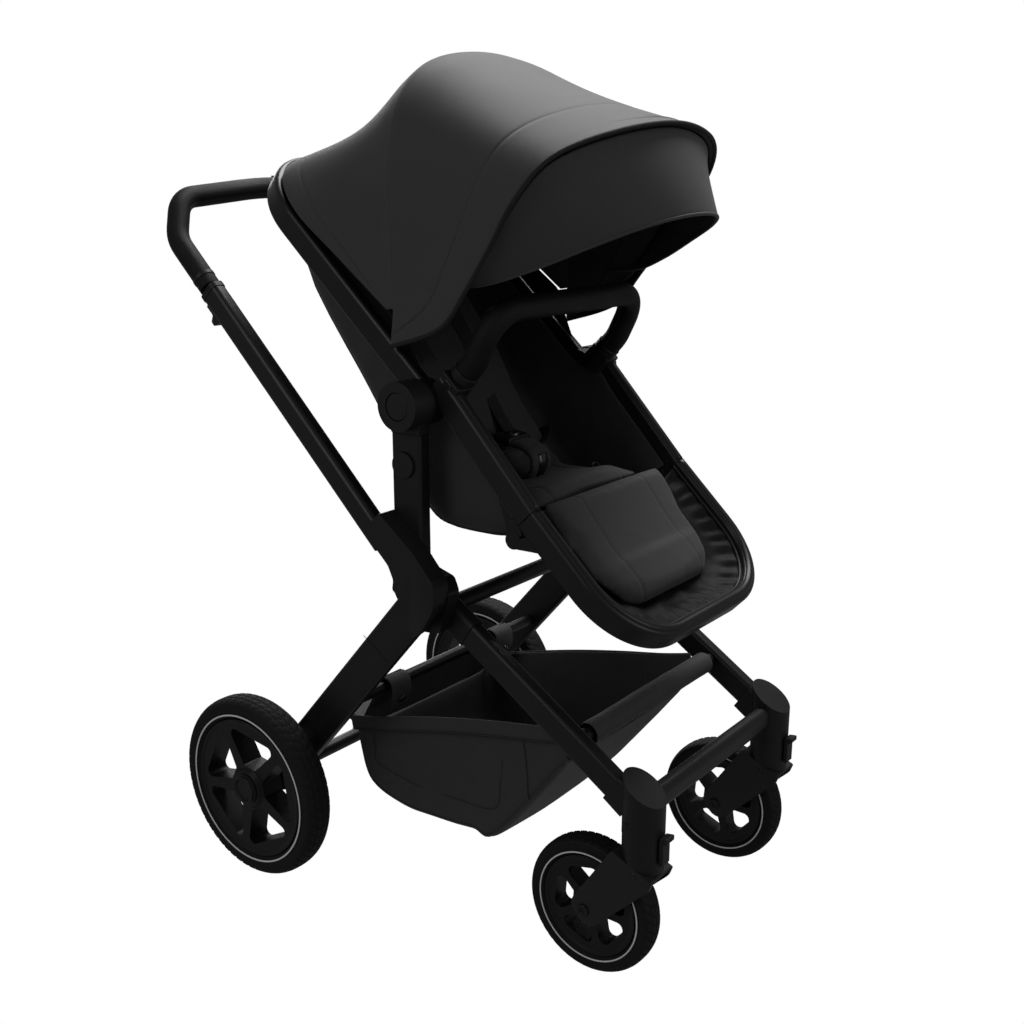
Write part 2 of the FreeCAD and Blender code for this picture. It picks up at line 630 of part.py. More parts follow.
def seat_frame():
    hub = (size("hub_y"), size("hub_z"))
    rail = size("seat_rail_x")
    wide, tall = size("seat_rail_wide"), size("seat_rail_tall")
    section = oblong(wide, tall, 7)
    lean, length = math.radians(size("back_angle")), size("back_length")
    foot = (hub[0], hub[1] + 10)
    top = (foot[0] + length * math.cos(lean), foot[1] + length * math.sin(lean))
    corners = [(at(-rail, *foot), 0), (at(-rail, *top), 110), (at(rail, *top), 110), (at(rail, *foot), 0)]
    loop = swept("back_loop", corners, flat(section), ACROSS)
    pieces = [loop]
    bores = []
    for label, s in SIDES:
        x = s * rail
        start, end = rail_point(12, -tall / 2), rail_point(KNEE, -tall / 2)
        pieces.append(tube(f"front_rail_{label}", at(x, *start), at(x, *end), section))
        boss_end = s * (size("post_x") - size("post_wide") / 2 - 0.5)
        pieces.append(rod_across(f"hub_boss_{label}", s * (rail - wide / 2), boss_end, *hub, "hub_radius - 2"))
        pieces.append(rod_across(f"hub_pin_{label}", s * (rail - 5), s * (size("hub_face") - 17), *hub, "10"))
        foot, mouth = bumper_point(-34), bumper_point(-0.5)
        pieces.append(rod(f"bumper_socket_{label}", at(s * BUMPER_X, *foot), at(s * BUMPER_X, *mouth), "16"))
        bores.append(rod(f"bumper_bore_{label}", at(s * BUMPER_X, *bumper_point(-28)),
                         at(s * BUMPER_X, *bumper_point(2)), "8.3"))
        ear = rod_across(f"knee_ear_{label}", s * (rail - wide / 2 + 1), s * (rail - 0.3), *KNUCKLE, "12")
        arm = side_plate(f"knee_arm_{label}", [(KNUCKLE[0] - 2, KNUCKLE[1], 0), (KNUCKLE[0] + 12, KNUCKLE[1], 0),
                                               (KNUCKLE[0] + 30, KNUCKLE[1] + 48, 0), (KNUCKLE[0] + 12, KNUCKLE[1] + 40, 0)],
                         min(s * (rail - wide / 2 + 1), s * (rail - 0.3)), wide / 2 - 1.3)
        pin = rod_across(f"knee_pin_{label}", s * (rail - 5), s * (rail + wide / 2 - 1), *KNUCKLE, "4")
        pieces += [ear, arm, pin]
    node("seat_frame", cut("seat_frame", fused("seat_frame", *pieces), *bores))
    return loop


BUMPER_X = 170.0
KNEE = 228.0
KNUCKLE = (-128.0, 577.0)


def bumper_point(along):
    """A (y, z) point on the bumper arm's axis, which stands square to the rails."""
    slope = math.radians(46.0)
    return -29 - along * math.cos(slope), 776 + along * math.sin(slope)


def bumper_bar():
    bend, across = bumper_point(30), (-84.0, 866.0)
    corners = [(at(-BUMPER_X, *bumper_point(0)), 0), (at(-BUMPER_X, *bend), 60), (at(-BUMPER_X, *across), 46),
               (at(BUMPER_X, *across), 46), (at(BUMPER_X, *bend), 60), (at(BUMPER_X, *bumper_point(0)), 0)]
    bar = swept("bumper_bar", corners, ring(size("bumper_radius")), ACROSS)
    pins = [rod(f"bumper_pin_{label}", at(s * BUMPER_X, *bumper_point(-27)), at(s * BUMPER_X, *bumper_point(4)), "8")
            for label, s in SIDES]
    node("bumper_bar", fused("bumper_bar", bar, *pins))


def leg_rest():
    rail, tall = size("seat_rail_x"), size("seat_rail_tall")
    slope = math.radians(size("leg_rest_angle"))
    start = rail_point(KNEE + 1.8, -tall / 2)
    length = 218.0
    end = (start[0] - length * math.cos(slope), start[1] - length * math.sin(slope))
    corners = [(at(-rail, *start), 0), (at(-rail, *end), 106), (at(rail, *end), 106), (at(rail, *start), 0)]
    pieces = [swept("leg_rest_loop", corners, flat(oblong(size("seat_rail_wide"), tall, 7)), ACROSS)]
    bores = []
    for label, s in SIDES:
        inner, outer = s * (rail + 0.3), s * (rail + size("seat_rail_wide") / 2 - 1)
        pieces.append(rod_across(f"leg_ear_{label}", inner, outer, *KNUCKLE, "12"))
        arm = [(KNUCKLE[0] - 11, KNUCKLE[1] + 4, 0), (KNUCKLE[0] - 2, KNUCKLE[1] - 11, 0),
               (start[0] - 26, start[1] - 40, 0), (start[0] - 26, start[1] - 12, 0)]
        pieces.append(side_plate(f"leg_arm_{label}", arm, min(inner, outer), abs(outer - inner)))
        bores.append(rod_across(f"leg_bore_{label}", s * (rail - 12), s * (rail + 12), *KNUCKLE, "4 + running_gap"))
    node("leg_rest_loop", cut("leg_rest_loop", fused("leg_rest_loop", *pieces), *bores))
    pad = [(-152, 613, 6), (-256, 480, 10), (-244, 462, 10), (-134, 596, 6)]
    node("leg_rest_pad", side_plate("leg_rest_pad", pad, -150, 300))


SEAT_OUTER = [(338, 1010, 8), (300, 925, 40), (220, 818, 60), (172, 757, 60), (124, 684, 60), (62, 600, 50),
              (18, 570, 30), (-80, 570, 25), (-118, 596, 8), (-100, 640, 0), (10, 735, 0), (325, 1020, 0)]
SEAT_INNER = [(320, 990, 8), (296, 926, 38), (217, 820, 58), (169, 759, 58), (121, 686, 58), (60, 603, 48),
              (17, 573.5, 28), (-79, 573.5, 22), (-112, 596, 4), (-130, 700, 0), (40, 900, 0), (280, 1040, 0)]


def soft_goods(back_loop):
    half = 170.0
    shell = side_plate("seat_shell", SEAT_OUTER, -half, 2 * half)
    hollow = side_plate("seat_shell_inside", SEAT_INNER, -half + size("cloth"), 2 * (half - size("cloth")))
    node("seat_shell", cut("seat_shell", shell, hollow, back_loop))
    pad = [(-108, 598, 6), (-78, 575, 15), (16, 575, 20), (58, 605, 40), (118, 688, 50), (166, 762, 50),
           (214, 823, 50), (288, 925, 30), (306, 968, 6), (286, 975, 6), (197, 838, 50), (149, 777, 50),
           (101, 704, 50), (44, 628, 30), (8, 598, 20), (-72, 598, 12), (-100, 617, 6)]
    node("seat_pad", side_plate("seat_pad", pad, -160, 320))

    # Harness: shoulder straps down the back, waist straps and the crotch buckle.
    strap = [(262, 940, 2), (197, 839.5, 49), (149, 778.5, 49), (101, 705.5, 49), (70, 664, 2), (66, 667, 2),
             (97, 709, 49), (145, 782, 49), (193, 843, 49), (258, 943, 2)]
    straps = [side_plate(f"shoulder_strap_{label}", strap, s * 60 - 19, 38) for label, s in SIDES]
    crotch = side_plate("crotch_strap", [(-40, 599, 1), (-8, 599, 1), (2, 640, 6), (-10, 662, 6), (-26, 655, 6)], -20, 40)
    node("harness", group("harness", *straps, crotch))

    # Basket: a cloth trough hung from the front sleeve and the rear tube.
    wide = size("basket_half")
    outer = [(196, 240, 6), (158, 111, 14), (-55, 118, 14), (-222, 306, 6), (-200, 322, 6)]
    inner = [(400, 200, 0), (193, 240.4, 0), (155.5, 114, 12), (-53.5, 121, 12), (-219, 307, 0), (-500, 600, 0)]
    trough = side_plate("basket", outer, -wide, "2 * basket_half")
    inside = side_plate("basket_inside", inner, -wide + size("cloth"), "2 * basket_half - 2 * cloth")
    node("basket", cut("basket", trough, inside, rod_across("basket_tube_gap", -200, 200, -225, 320, "10.1"),
                       rod_across("basket_rear_gap", -200, 200, 150, 288, "9.4")))
    leg_face = size("front_leg_x") - size("front_leg_wide") / 2
    node("basket_front_tube", rod_across("basket_front_tube", -leg_face, leg_face, -225, 320, "10"))


# ---------------------------------------------------------------- canopy

def arch(name, angle, half_profile, skin):
    """A closed section of the hood in the plane through the pivot at an angle.

    The half profile runs from the side up to the crown as (x, radius).
    """
    full = half_profile + [(-x, r) for x, r in reversed(half_profile[:-1])]
    swing = math.radians(angle)
    out = Vector(0, math.cos(swing), math.sin(swing))
    pivot = at(0, size("canopy_y"), size("canopy_z"))

    def spline(depth):
        points = []
        for i, (x, r) in enumerate(full):
            x0, r0 = full[max(i - 1, 0)]
            x1, r1 = full[min(i + 1, len(full) - 1)]
            length = math.hypot(x1 - x0, r1 - r0)
            points.append(pivot + ACROSS * (x + depth * (r1 - r0) / length) + out * (r - depth * (x1 - x0) / length))
        curve = Part.BSplineCurve()
        curve.interpolate(points)
        return curve, points
    outer, outer_points = spline(0)
    inner, inner_points = spline(-skin)
    wire = doc.addObject("Part::Feature", name)
    wire.Shape = Part.Wire([outer.toShape(), Part.makeLine(outer_points[-1], inner_points[-1]),
                            inner.toShape(), Part.makeLine(inner_points[0], outer_points[0])])
    return wire


def hood(name, sections, skin):
    loft = doc.addObject("Part::Loft", name + "_loft")
    loft.Sections = [arch(f"{name}_arch_{i}", angle, profile, skin) for i, (angle, profile) in enumerate(sections)]
    loft.Solid = True
    loft.Ruled = True
    return loft


REAR_EDGE = [(200, 60), (200, 128), (199, 225), (165, 308), (96, 340), (0, 347)]
MIDDLE = [(201, 60), (202, 128), (201, 200), (176, 278), (112, 325), (0, 341)]
REAR_FRONT = [(202, 60), (203, 128), (203, 208), (177, 288), (112, 337), (0, 354)]
FRONT_REAR = [(208, 60), (209, 128), (210, 212), (186, 297), (118, 346), (0, 363)]
FRONT_ARCH = [(208, 60), (210, 128), (218, 226), (191, 319), (110, 367), (0, 389)]
VISOR_TOP = [(208, 60), (209, 128), (212, 215), (186, 304), (116, 352), (0, 373)]
VISOR_EDGE = [(208, 60), (208, 128), (209, 212), (185, 296), (116, 346), (0, 367)]
BOW = [(195, 60), (196, 128), (195, 197), (171, 273), (108, 319), (0, 335)]


def canopy():
    skin = size("canopy_skin")
    node("canopy_rear_shell", hood("canopy_rear_shell", [(39, REAR_EDGE), (90, MIDDLE), (117, REAR_FRONT)], skin))
    front = hood("canopy_front", [(117.5, FRONT_REAR), (141, FRONT_ARCH)], skin)
    visor = hood("canopy_visor", [(141.2, VISOR_TOP), (159.5, VISOR_EDGE)], skin)
    node("canopy_front_shell", group("canopy_front_shell", front, visor))
    node("canopy_mid_bow", hood("canopy_mid_bow", [(89, BOW), (91.5, BOW)], 3))


# ---------------------------------------------------------------- build and write

front_frame()
castings_and_posts()
rear_frame()
for label, s in SIDES:
    rear_wheel(label, s)
    caster(label, s)
    front_wheel(label, s)
handle_bar()
seat_mounts()
back_loop = seat_frame()
bumper_bar()
leg_rest()
soft_goods(back_loop)
canopy()
doc.recompute()

for thing in doc.Objects:
    if "Invalid" in thing.State or "Error" in thing.State:
        raise RuntimeError(f"{thing.Label} did not compute: {thing.State}")
os.makedirs("parts", exist_ok=True)
for thing in nodes:
    shape = thing.Shape
    if shape.isNull() or not shape.isValid() or shape.Volume <= 0:
        raise RuntimeError(f"{thing.Label} has no valid solid")
    shape.exportStep(f"parts/{thing.Label}.step")
print(f"{len(nodes)} sub-parts")
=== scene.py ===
"""The looks of a baby stroller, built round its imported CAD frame.

Lengths in the drawing are millimetres with y as in the CAD drawing; at() moves them into the frame.
"""

import json
import math

import bmesh
import bpy
import numpy as np
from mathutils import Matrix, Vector, noise


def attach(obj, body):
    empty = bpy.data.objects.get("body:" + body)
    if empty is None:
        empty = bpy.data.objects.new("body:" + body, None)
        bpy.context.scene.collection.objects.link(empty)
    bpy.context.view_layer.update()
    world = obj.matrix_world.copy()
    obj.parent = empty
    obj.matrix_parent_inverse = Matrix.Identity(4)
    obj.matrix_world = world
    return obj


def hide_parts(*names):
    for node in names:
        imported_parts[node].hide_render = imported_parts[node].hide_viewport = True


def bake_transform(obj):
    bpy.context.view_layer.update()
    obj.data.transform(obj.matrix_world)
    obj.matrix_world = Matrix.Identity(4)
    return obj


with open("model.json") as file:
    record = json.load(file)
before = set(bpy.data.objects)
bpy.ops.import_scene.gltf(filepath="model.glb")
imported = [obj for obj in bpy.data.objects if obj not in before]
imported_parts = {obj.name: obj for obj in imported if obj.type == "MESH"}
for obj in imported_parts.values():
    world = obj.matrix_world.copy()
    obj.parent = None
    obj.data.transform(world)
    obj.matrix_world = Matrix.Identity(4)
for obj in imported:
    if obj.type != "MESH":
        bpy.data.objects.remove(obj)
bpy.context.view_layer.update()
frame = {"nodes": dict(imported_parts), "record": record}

NODES = frame["nodes"]
SIDES = (("left", 1), ("right", -1))
CENTRING = 63.8
MM = 0.001
scene = bpy.context.scene


def at(x, y, z):
    """A point of the drawing in the frame, in metres."""
    return Vector((x, y - CENTRING, z)) * MM


# ------------------------------------------------------------------ camera and light

def look(position, forward, lens):
    camera = bpy.data.objects.new("camera", bpy.data.cameras.new("camera"))
    scene.collection.objects.link(camera)
    camera.data.lens = lens
    camera.data.sensor_width = 36.0
    camera.location = position
    camera.rotation_mode = "QUATERNION"
    camera.rotation_quaternion = Vector(forward).to_track_quat("-Z", "Y")
    scene.camera = camera


def softbox(name, position, target, width, power):
    light = bpy.data.objects.new(name, bpy.data.lights.new(name, "AREA"))
    scene.collection.objects.link(light)
    light.data.shape = "RECTANGLE"
    light.data.size, light.data.size_y = width
    light.data.energy = power
    light.location = position
    light.rotation_mode = "QUATERNION"
    light.rotation_quaternion = (Vector(target) - Vector(position)).to_track_quat("-Z", "Y")


def studio():
    look((-1.416, -1.1153, 1.0275), (0.7703, 0.5823, -0.2597), 43.6)
    scene.view_settings.view_transform = "Standard"
    world = bpy.data.worlds.new("studio")
    scene.world = world
    world.use_nodes = True
    tree = world.node_tree
    seen = tree.nodes["Background"]
    seen.inputs["Color"].default_value = (1, 1, 1, 1)
    seen.inputs["Strength"].default_value = 1.0
    lighting = tree.nodes.new("ShaderNodeBackground")
    lighting.inputs["Color"].default_value = (1, 1, 1, 1)
    lighting.inputs["Strength"].default_value = 0.2
    path = tree.nodes.new("ShaderNodeLightPath")
    mix = tree.nodes.new("ShaderNodeMixShader")
    tree.links.new(path.outputs["Is Camera Ray"], mix.inputs["Fac"])
    tree.links.new(lighting.outputs[0], mix.inputs[1])
    tree.links.new(seen.outputs[0], mix.inputs[2])
    tree.links.new(mix.outputs[0], tree.nodes["World Output"].inputs["Surface"])
    softbox("overhead", (1.3, 0.3, 3.2), (0.1, 0.0, 0.9), (2.2, 1.6), 105)
    softbox("side", (-3.0, 0.4, 2.2), (0.0, 0.0, 0.6), (1.4, 1.8), 18)
    softbox("front", (0.4, -3.6, 1.5), (0.0, 0.0, 0.7), (1.6, 1.8), 18)
    softbox("behind", (1.8, 2.6, 1.6), (0.0, 0.0, 0.8), (1.2, 1.6), 22)


# ------------------------------------------------------------------ materials

def new_material(name):
    made = bpy.data.materials.new(name)
    made.use_nodes = True
    return made, made.node_tree, made.node_tree.nodes["Principled BSDF"]


def place(tree, stretch=(1, 1, 1), turn=(0, 0, 0)):
    coords = tree.nodes.new("ShaderNodeTexCoord")
    mapping = tree.nodes.new("ShaderNodeMapping")
    mapping.inputs["Scale"].default_value = stretch
    mapping.inputs["Rotation"].default_value = turn
    tree.links.new(coords.outputs["Object"], mapping.inputs["Vector"])
    return mapping.outputs["Vector"]


def cloud(tree, where, scale, detail=2.0):
    made = tree.nodes.new("ShaderNodeTexNoise")
    made.inputs["Scale"].default_value = scale
    made.inputs["Detail"].default_value = detail
    tree.links.new(where, made.inputs["Vector"])
    return made.outputs["Fac"]


def spread(tree, value, low, high, start=0.3, end=0.7):
    made = tree.nodes.new("ShaderNodeMapRange")
    made.inputs["From Min"].default_value = start
    made.inputs["From Max"].default_value = end
    made.inputs["To Min"].default_value = low
    made.inputs["To Max"].default_value = high
    tree.links.new(value, made.inputs["Value"])
    return made.outputs["Result"]


def math_node(tree, operation, a, b):
    made = tree.nodes.new("ShaderNodeMath")
    made.operation = operation
    for i, value in enumerate((a, b)):
        if isinstance(value, float):
            made.inputs[i].default_value = value
        else:
            tree.links.new(value, made.inputs[i])
    return made.outputs["Value"]


def mixed(tree, amount, first, second):
    """A colour between two, by amount; each is a grey level or a socket."""
    made = tree.nodes.new("ShaderNodeMix")
    made.data_type = "RGBA"
    for socket, value in ((made.inputs[6], first), (made.inputs[7], second)):
        if isinstance(value, tuple):
            socket.default_value = (*value, 1)
        else:
            tree.links.new(value, socket)
    tree.links.new(amount, made.inputs[0])
    return made.outputs[2]


def bump(tree, height, strength, distance, under=None):
    made = tree.nodes.new("ShaderNodeBump")
    made.inputs["Strength"].default_value = strength
    made.inputs["Distance"].default_value = distance
    tree.links.new(height, made.inputs["Height"])
    if under is not None:
        tree.links.new(under, made.inputs["Normal"])
    return made.outputs["Normal"]


def bands(tree, where, pitch, direction="X"):
    made = tree.nodes.new("ShaderNodeTexWave")
    made.wave_type = "BANDS"
    made.bands_direction = direction
    made.inputs["Scale"].default_value = 0.314 / pitch
    made.inputs["Distortion"].default_value = 0.6
    made.inputs["Detail"].default_value = 1.0
    tree.links.new(where, made.inputs["Vector"])
    return made.outputs["Fac"]


def hard(name, dark, light, rough, grain, strength, metallic=0.0, coat=0.0, painted_edge_highlight=None,
         specular=0.3):
    """Powder coat, moulded plastic or rubber: uneven tone and gloss, a fine grain, and convex edges painted
    paler as a highlight.
    """
    made, tree, shader = new_material(name)
    where = place(tree)
    broad = cloud(tree, where, 9.0, 3.0)
    fine = cloud(tree, where, grain, 2.0)
    tone = mixed(tree, spread(tree, broad, 0.0, 1.0), dark, light)
    # Convex edges, found by pointiness, are painted paler as a highlight, broken up by fine noise.
    if painted_edge_highlight is not None:
        edge = tree.nodes.new("ShaderNodeNewGeometry").outputs["Pointiness"]
        edge_highlight_mask = math_node(tree, "MULTIPLY", spread(tree, edge, 0.0, 0.8, 0.53, 0.62), spread(tree, fine,
                0.3, 1.0))
        tone = mixed(tree, edge_highlight_mask, tone, painted_edge_highlight)
    tree.links.new(tone, shader.inputs["Base Color"])
    gloss = math_node(tree, "ADD", spread(tree, broad, rough[0], rough[1]), spread(tree, fine, -0.04, 0.04))
    tree.links.new(gloss, shader.inputs["Roughness"])
    tree.links.new(bump(tree, fine, strength, 0.0004), shader.inputs["Normal"])
    shader.inputs["Metallic"].default_value = metallic
    shader.inputs["Coat Weight"].default_value = coat
    shader.inputs["Coat Roughness"].default_value = 0.25
    shader.inputs["Specular IOR Level"].default_value = specular
    return made


def cloth(name, dark, light, pitch, rough, sheen, weave=0.5, melange=0.5, crease=0.25,
          specular=0.3):
    """Woven cloth: two sets of threads, flecks of paler yarn, soft creases and a sheen."""
    made, tree, shader = new_material(name)
    one = bands(tree, place(tree, turn=(0.3, 0.5, 0.785)), pitch)
    two = bands(tree, place(tree, turn=(0.4, -0.6, -0.785)), pitch, "Y")
    threads = math_node(tree, "MAXIMUM", one, two)
    where = place(tree)
    yarn = cloud(tree, where, 0.9 / pitch, 2.0)
    broad = cloud(tree, where, 11.0, 3.0)
    folds = cloud(tree, place(tree, (1, 1, 0.6)), 26.0, 2.0)
    flecks = spread(tree, yarn, 0.0, melange, 0.35, 0.72)
    tone = mixed(tree, math_node(tree, "MULTIPLY", flecks, spread(tree, broad, 0.7, 1.0)), dark, light)
    shade = math_node(tree, "MULTIPLY", threads, 0.35)
    tone = mixed(tree, shade, tone, light)
    tree.links.new(tone, shader.inputs["Base Color"])
    tree.links.new(spread(tree, yarn, rough - 0.08, rough + 0.08), shader.inputs["Roughness"])
    under = bump(tree, folds, crease, 0.004)
    weft = bump(tree, threads, weave, 0.0004, under)
    tree.links.new(bump(tree, yarn, 0.35, 0.0004, weft), shader.inputs["Normal"])
    shader.inputs["Sheen Weight"].default_value = sheen
    shader.inputs["Sheen Roughness"].default_value = 0.42
    shader.inputs["Specular IOR Level"].default_value = specular
    return made


def leather(name, dark, light):
    made, tree, shader = new_material(name)
    where = place(tree)
    cells = tree.nodes.new("ShaderNodeTexVoronoi")
    cells.feature = "DISTANCE_TO_EDGE"
    cells.inputs["Scale"].default_value = 620.0
    tree.links.new(where, cells.inputs["Vector"])
    pebble = spread(tree, cells.outputs["Distance"], 0.0, 1.0, 0.0, 0.35)
    broad = cloud(tree, where, 16.0, 3.0)
    tree.links.new(mixed(tree, spread(tree, broad, 0.0, 1.0), dark, light), shader.inputs["Base Color"])
    tree.links.new(spread(tree, broad, 0.5, 0.62), shader.inputs["Roughness"])
    tree.links.new(bump(tree, pebble, 0.45, 0.0004), shader.inputs["Normal"])
    shader.inputs["Specular IOR Level"].default_value = 0.16
    return made


def grey(level):
    return (level, level, level * 1.02)


# In each hard material the last grey is the colour of its painted edge highlight.
MATERIALS = {
    "frame_metal": hard("coated_metal", grey(0.0045), grey(0.0062), (0.34, 0.42), 1500.0, 0.12,
        painted_edge_highlight=grey(0.02)),
    "black_plastic": hard("moulded_plastic", grey(0.0065), grey(0.009), (0.42, 0.54), 1100.0, 0.22,
        painted_edge_highlight=grey(0.02), specular=0.26),
    "rim_plastic": hard("satin_rim", grey(0.004), grey(0.006), (0.4, 0.5), 900.0, 0.16,
        painted_edge_highlight=grey(0.015), specular=0.24),
    "tyre_rubber": hard("tyre_rubber", grey(0.0045), grey(0.008), (0.62, 0.78), 700.0, 0.4,
        painted_edge_highlight=grey(0.014), specular=0.2),
    "bolt_steel": hard("blackened_bolt", grey(0.02), grey(0.035), (0.28, 0.4), 900.0, 0.15, metallic=0.8),
    "leatherette": leather("leatherette", grey(0.004), grey(0.006)),
    "hood_fabric": cloth("hood_twill", grey(0.024), grey(0.052), 0.0009, 0.62, 0.14, crease=0.08),
    "seat_fabric": cloth("seat_cloth", grey(0.019), grey(0.042), 0.0011, 0.72, 0.1, crease=0.3),
    "basket_fabric": cloth("basket_cloth", grey(0.024), grey(0.046), 0.0013, 0.66, 0.06, weave=0.7,
        crease=0.5),
    "webbing": cloth("webbing", grey(0.009), grey(0.02), 0.0017, 0.6, 0.04, weave=0.9, crease=0.1),
}
REFLECTIVE = hard("reflective_band", grey(0.62), grey(0.72), (0.35, 0.45), 900.0, 0.1)
THREAD = cloth("sewing_thread", grey(0.006), grey(0.012), 0.0006, 0.7, 0.0)
GLOSS = hard("gloss_plastic", grey(0.006), grey(0.009), (0.18, 0.26), 500.0, 0.05, coat=0.4)
ELASTIC = cloth("slick_lining", grey(0.003), grey(0.006), 0.0009, 0.5, 0.0, crease=0.7, specular=0.15)


# ------------------------------------------------------------------ mesh helpers

def finish_piece(piece, slot, body=None, made=None, replaces=()):
    """Gives a piece its material, looked up by slot unless one is made, and the body that it rides on."""
    piece.data.materials.clear()
    piece.data.materials.append(made or MATERIALS[slot])
    if body:
        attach(piece, body)
    if replaces:
        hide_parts(*replaces)
    return piece


def mesh_piece(name, points, faces):
    mesh = bpy.data.meshes.new(name)
    mesh.from_pydata([tuple(p) for p in points], [], faces)
    mesh.validate()
    piece = bpy.data.objects.new(name, mesh)
    scene.collection.objects.link(piece)
    tidy = bmesh.new()
    tidy.from_mesh(mesh)
    bmesh.ops.remove_doubles(tidy, verts=tidy.verts, dist=1e-6)
    bmesh.ops.recalc_face_normals(tidy, faces=tidy.faces)
    tidy.to_mesh(mesh)
    tidy.free()
    mesh.polygons.foreach_set("use_smooth", [True] * len(mesh.polygons))
    return piece


def lattice_faces(rows, columns, wrap_rows=False, wrap_columns=False, start=0):
    faces = []
    for i in range(rows if wrap_rows else rows - 1):
        for j in range(columns if wrap_columns else columns - 1):
            a, b = i * columns, ((i + 1) % rows) * columns
            k = (j + 1) % columns
            faces.append((start + a + j, start + a + k, start + b + k, start + b + j))
    return faces


def surface_piece(name, rows, thickness=0.0, wrap_columns=False, smooth=0):
    """A sheet through rows of points, given a thickness by a modifier."""
    columns = len(rows[0])
    piece = mesh_piece(name, [p for row in rows for p in row],
                       lattice_faces(len(rows), columns, wrap_columns=wrap_columns))
    if thickness:
        solid = piece.modifiers.new("thickness", "SOLIDIFY")
        solid.thickness = thickness
        solid.offset = 0.0
        solid.use_rim = True
    if smooth:
        piece.modifiers.new("round", "SUBSURF").render_levels = smooth
        piece.modifiers["round"].levels = smooth
    return piece


def spline(points, count, closed=False):
    """Points evenly spaced in length on a smooth curve through the given ones."""
    given = [Vector(p) for p in points]
    dense = []
    total = len(given)
    spans = total if closed else total - 1
    for i in range(spans):
        if closed:
            a, b, c, d = (given[(i + k) % total] for k in (-1, 0, 1, 2))
        else:
            a, b, c, d = (given[min(max(i + k, 0), total - 1)] for k in (-1, 0, 1, 2))
        for j in range(12):
            t = j / 12
            dense.append(0.5 * (2 * b + (c - a) * t + (2 * a - 5 * b + 4 * c - d) * t * t
                                + (3 * b - 3 * c + d - a) * t ** 3))
    dense.append(given[0] if closed else given[-1])
    return evenly(dense, count + 1 if closed else count)[:count]


def evenly(line, count):
    steps = [0.0]
    for a, b in zip(line, line[1:]):
        steps.append(steps[-1] + (b - a).length)
    out, i = [], 0
    for k in range(count):
        want = steps[-1] * k / (count - 1)
        while i < len(line) - 2 and steps[i + 1] < want:
            i += 1
        span = steps[i + 1] - steps[i]
        share = (want - steps[i]) / span if span > 1e-12 else 0.0
        out.append(line[i].lerp(line[i + 1], min(max(share, 0.0), 1.0)))
    return out


def cornered(corners, step=0.004):
    """A line of straight runs with rounded corners: corners are (point, radius)."""
    line = [corners[0][0]]
    for (a, _), (b, radius), (c, _) in zip(corners, corners[1:], corners[2:]):
        into, out = (a - b).normalized(), (c - b).normalized()
        half = into.angle(out) / 2
        reach = radius / math.tan(half)
        start, end = b + into * reach, b + out * reach
        centre = b + (into + out).normalized() * (radius / math.sin(half))
        sweep = math.pi - 2 * half
        for k in range(13):
            share = k / 12
            spoke = (start - centre) * math.sin((1 - share) * sweep) + (end - centre) * math.sin(share
                    * sweep)
            line.append(centre + spoke / math.sin(sweep))
    line.append(corners[-1][0])
    length = sum((b - a).length for a, b in zip(line, line[1:]))
    return evenly(line, max(4, int(length / step)))


def directions(line, closed):
    out = []
    for i in range(len(line)):
        before = line[i - 1] if i or closed else line[i]
        after = line[(i + 1) % len(line)] if i < len(line) - 1 or closed else line[i]
        out.append((after - before).normalized())
    return out


def sweep(line, section, up, closed=False):
    """Rows of points: (across, above) offsets carried along a line. up(i) is the above direction."""
    rows = []
    for i, (point, along) in enumerate(zip(line, directions(line, closed))):
        above = Vector(up(i) if callable(up) else up)
        above = (above - along * above.dot(along)).normalized()
        across = along.cross(above)
        rows.append([point + across * a + above * b for a, b in section])
    return rows


def carried(name, line, section, up, closed=False):
    """A closed solid: a section carried along a line, with its ends filled."""
    rows = sweep(line, section, up, closed)
    columns = len(section)
    faces = lattice_faces(len(rows), columns, wrap_rows=closed, wrap_columns=True)
    if not closed:
        faces.append(tuple(range(columns)))
        faces.append(tuple(range((len(rows) - 1) * columns, len(rows) * columns)))
    return mesh_piece(name, [p for row in rows for p in row], faces)


def disc(radius, count=14, squeeze=1.0):
    return [(radius * math.cos(2 * math.pi * k / count),
             squeeze * radius * math.sin(2 * math.pi * k / count))
            for k in range(count)]


def band(width, thick, count=4):
    """A flat section with rounded edges."""
    section = []
    for side in (1, -1):
        for k in range(count + 1):
            angle = math.pi * (k / count - 0.5)
            section.append((side * (width / 2 - thick / 2 + thick / 2 * math.cos(angle)),
                            side * thick / 2 * math.sin(angle)))
    return section


def joined(name, pieces):
    points, faces = [], []
    for piece in pieces:
        start = len(points)
        points += [piece.matrix_world @ v.co for v in piece.data.vertices]
        faces += [tuple(start + v for v in p.vertices) for p in piece.data.polygons]
        mesh = piece.data
        bpy.data.objects.remove(piece)
        bpy.data.meshes.remove(mesh)
    mesh = bpy.data.meshes.new(name)
    mesh.from_pydata(points, [], faces)
    mesh.polygons.foreach_set("use_smooth", [True] * len(mesh.polygons))
    piece = bpy.data.objects.new(name, mesh)
    scene.collection.objects.link(piece)
    return piece


def stitches(name, line, up, length=0.0032, gap=0.0016, radius=0.00045):
    """A row of stitches: short raised threads along a line."""
    total = sum((b - a).length for a, b in zip(line, line[1:]))
    count = max(2, int(total / (length + gap)))
    dense = evenly(line, count * 3 + 1)
    made = []
    for k in range(count):
        made.append(carried("stitch", dense[3 * k:3 * k + 3], disc(radius, 5),
                            up(3 * k) if callable(up) else up))
    return joined(name, made)


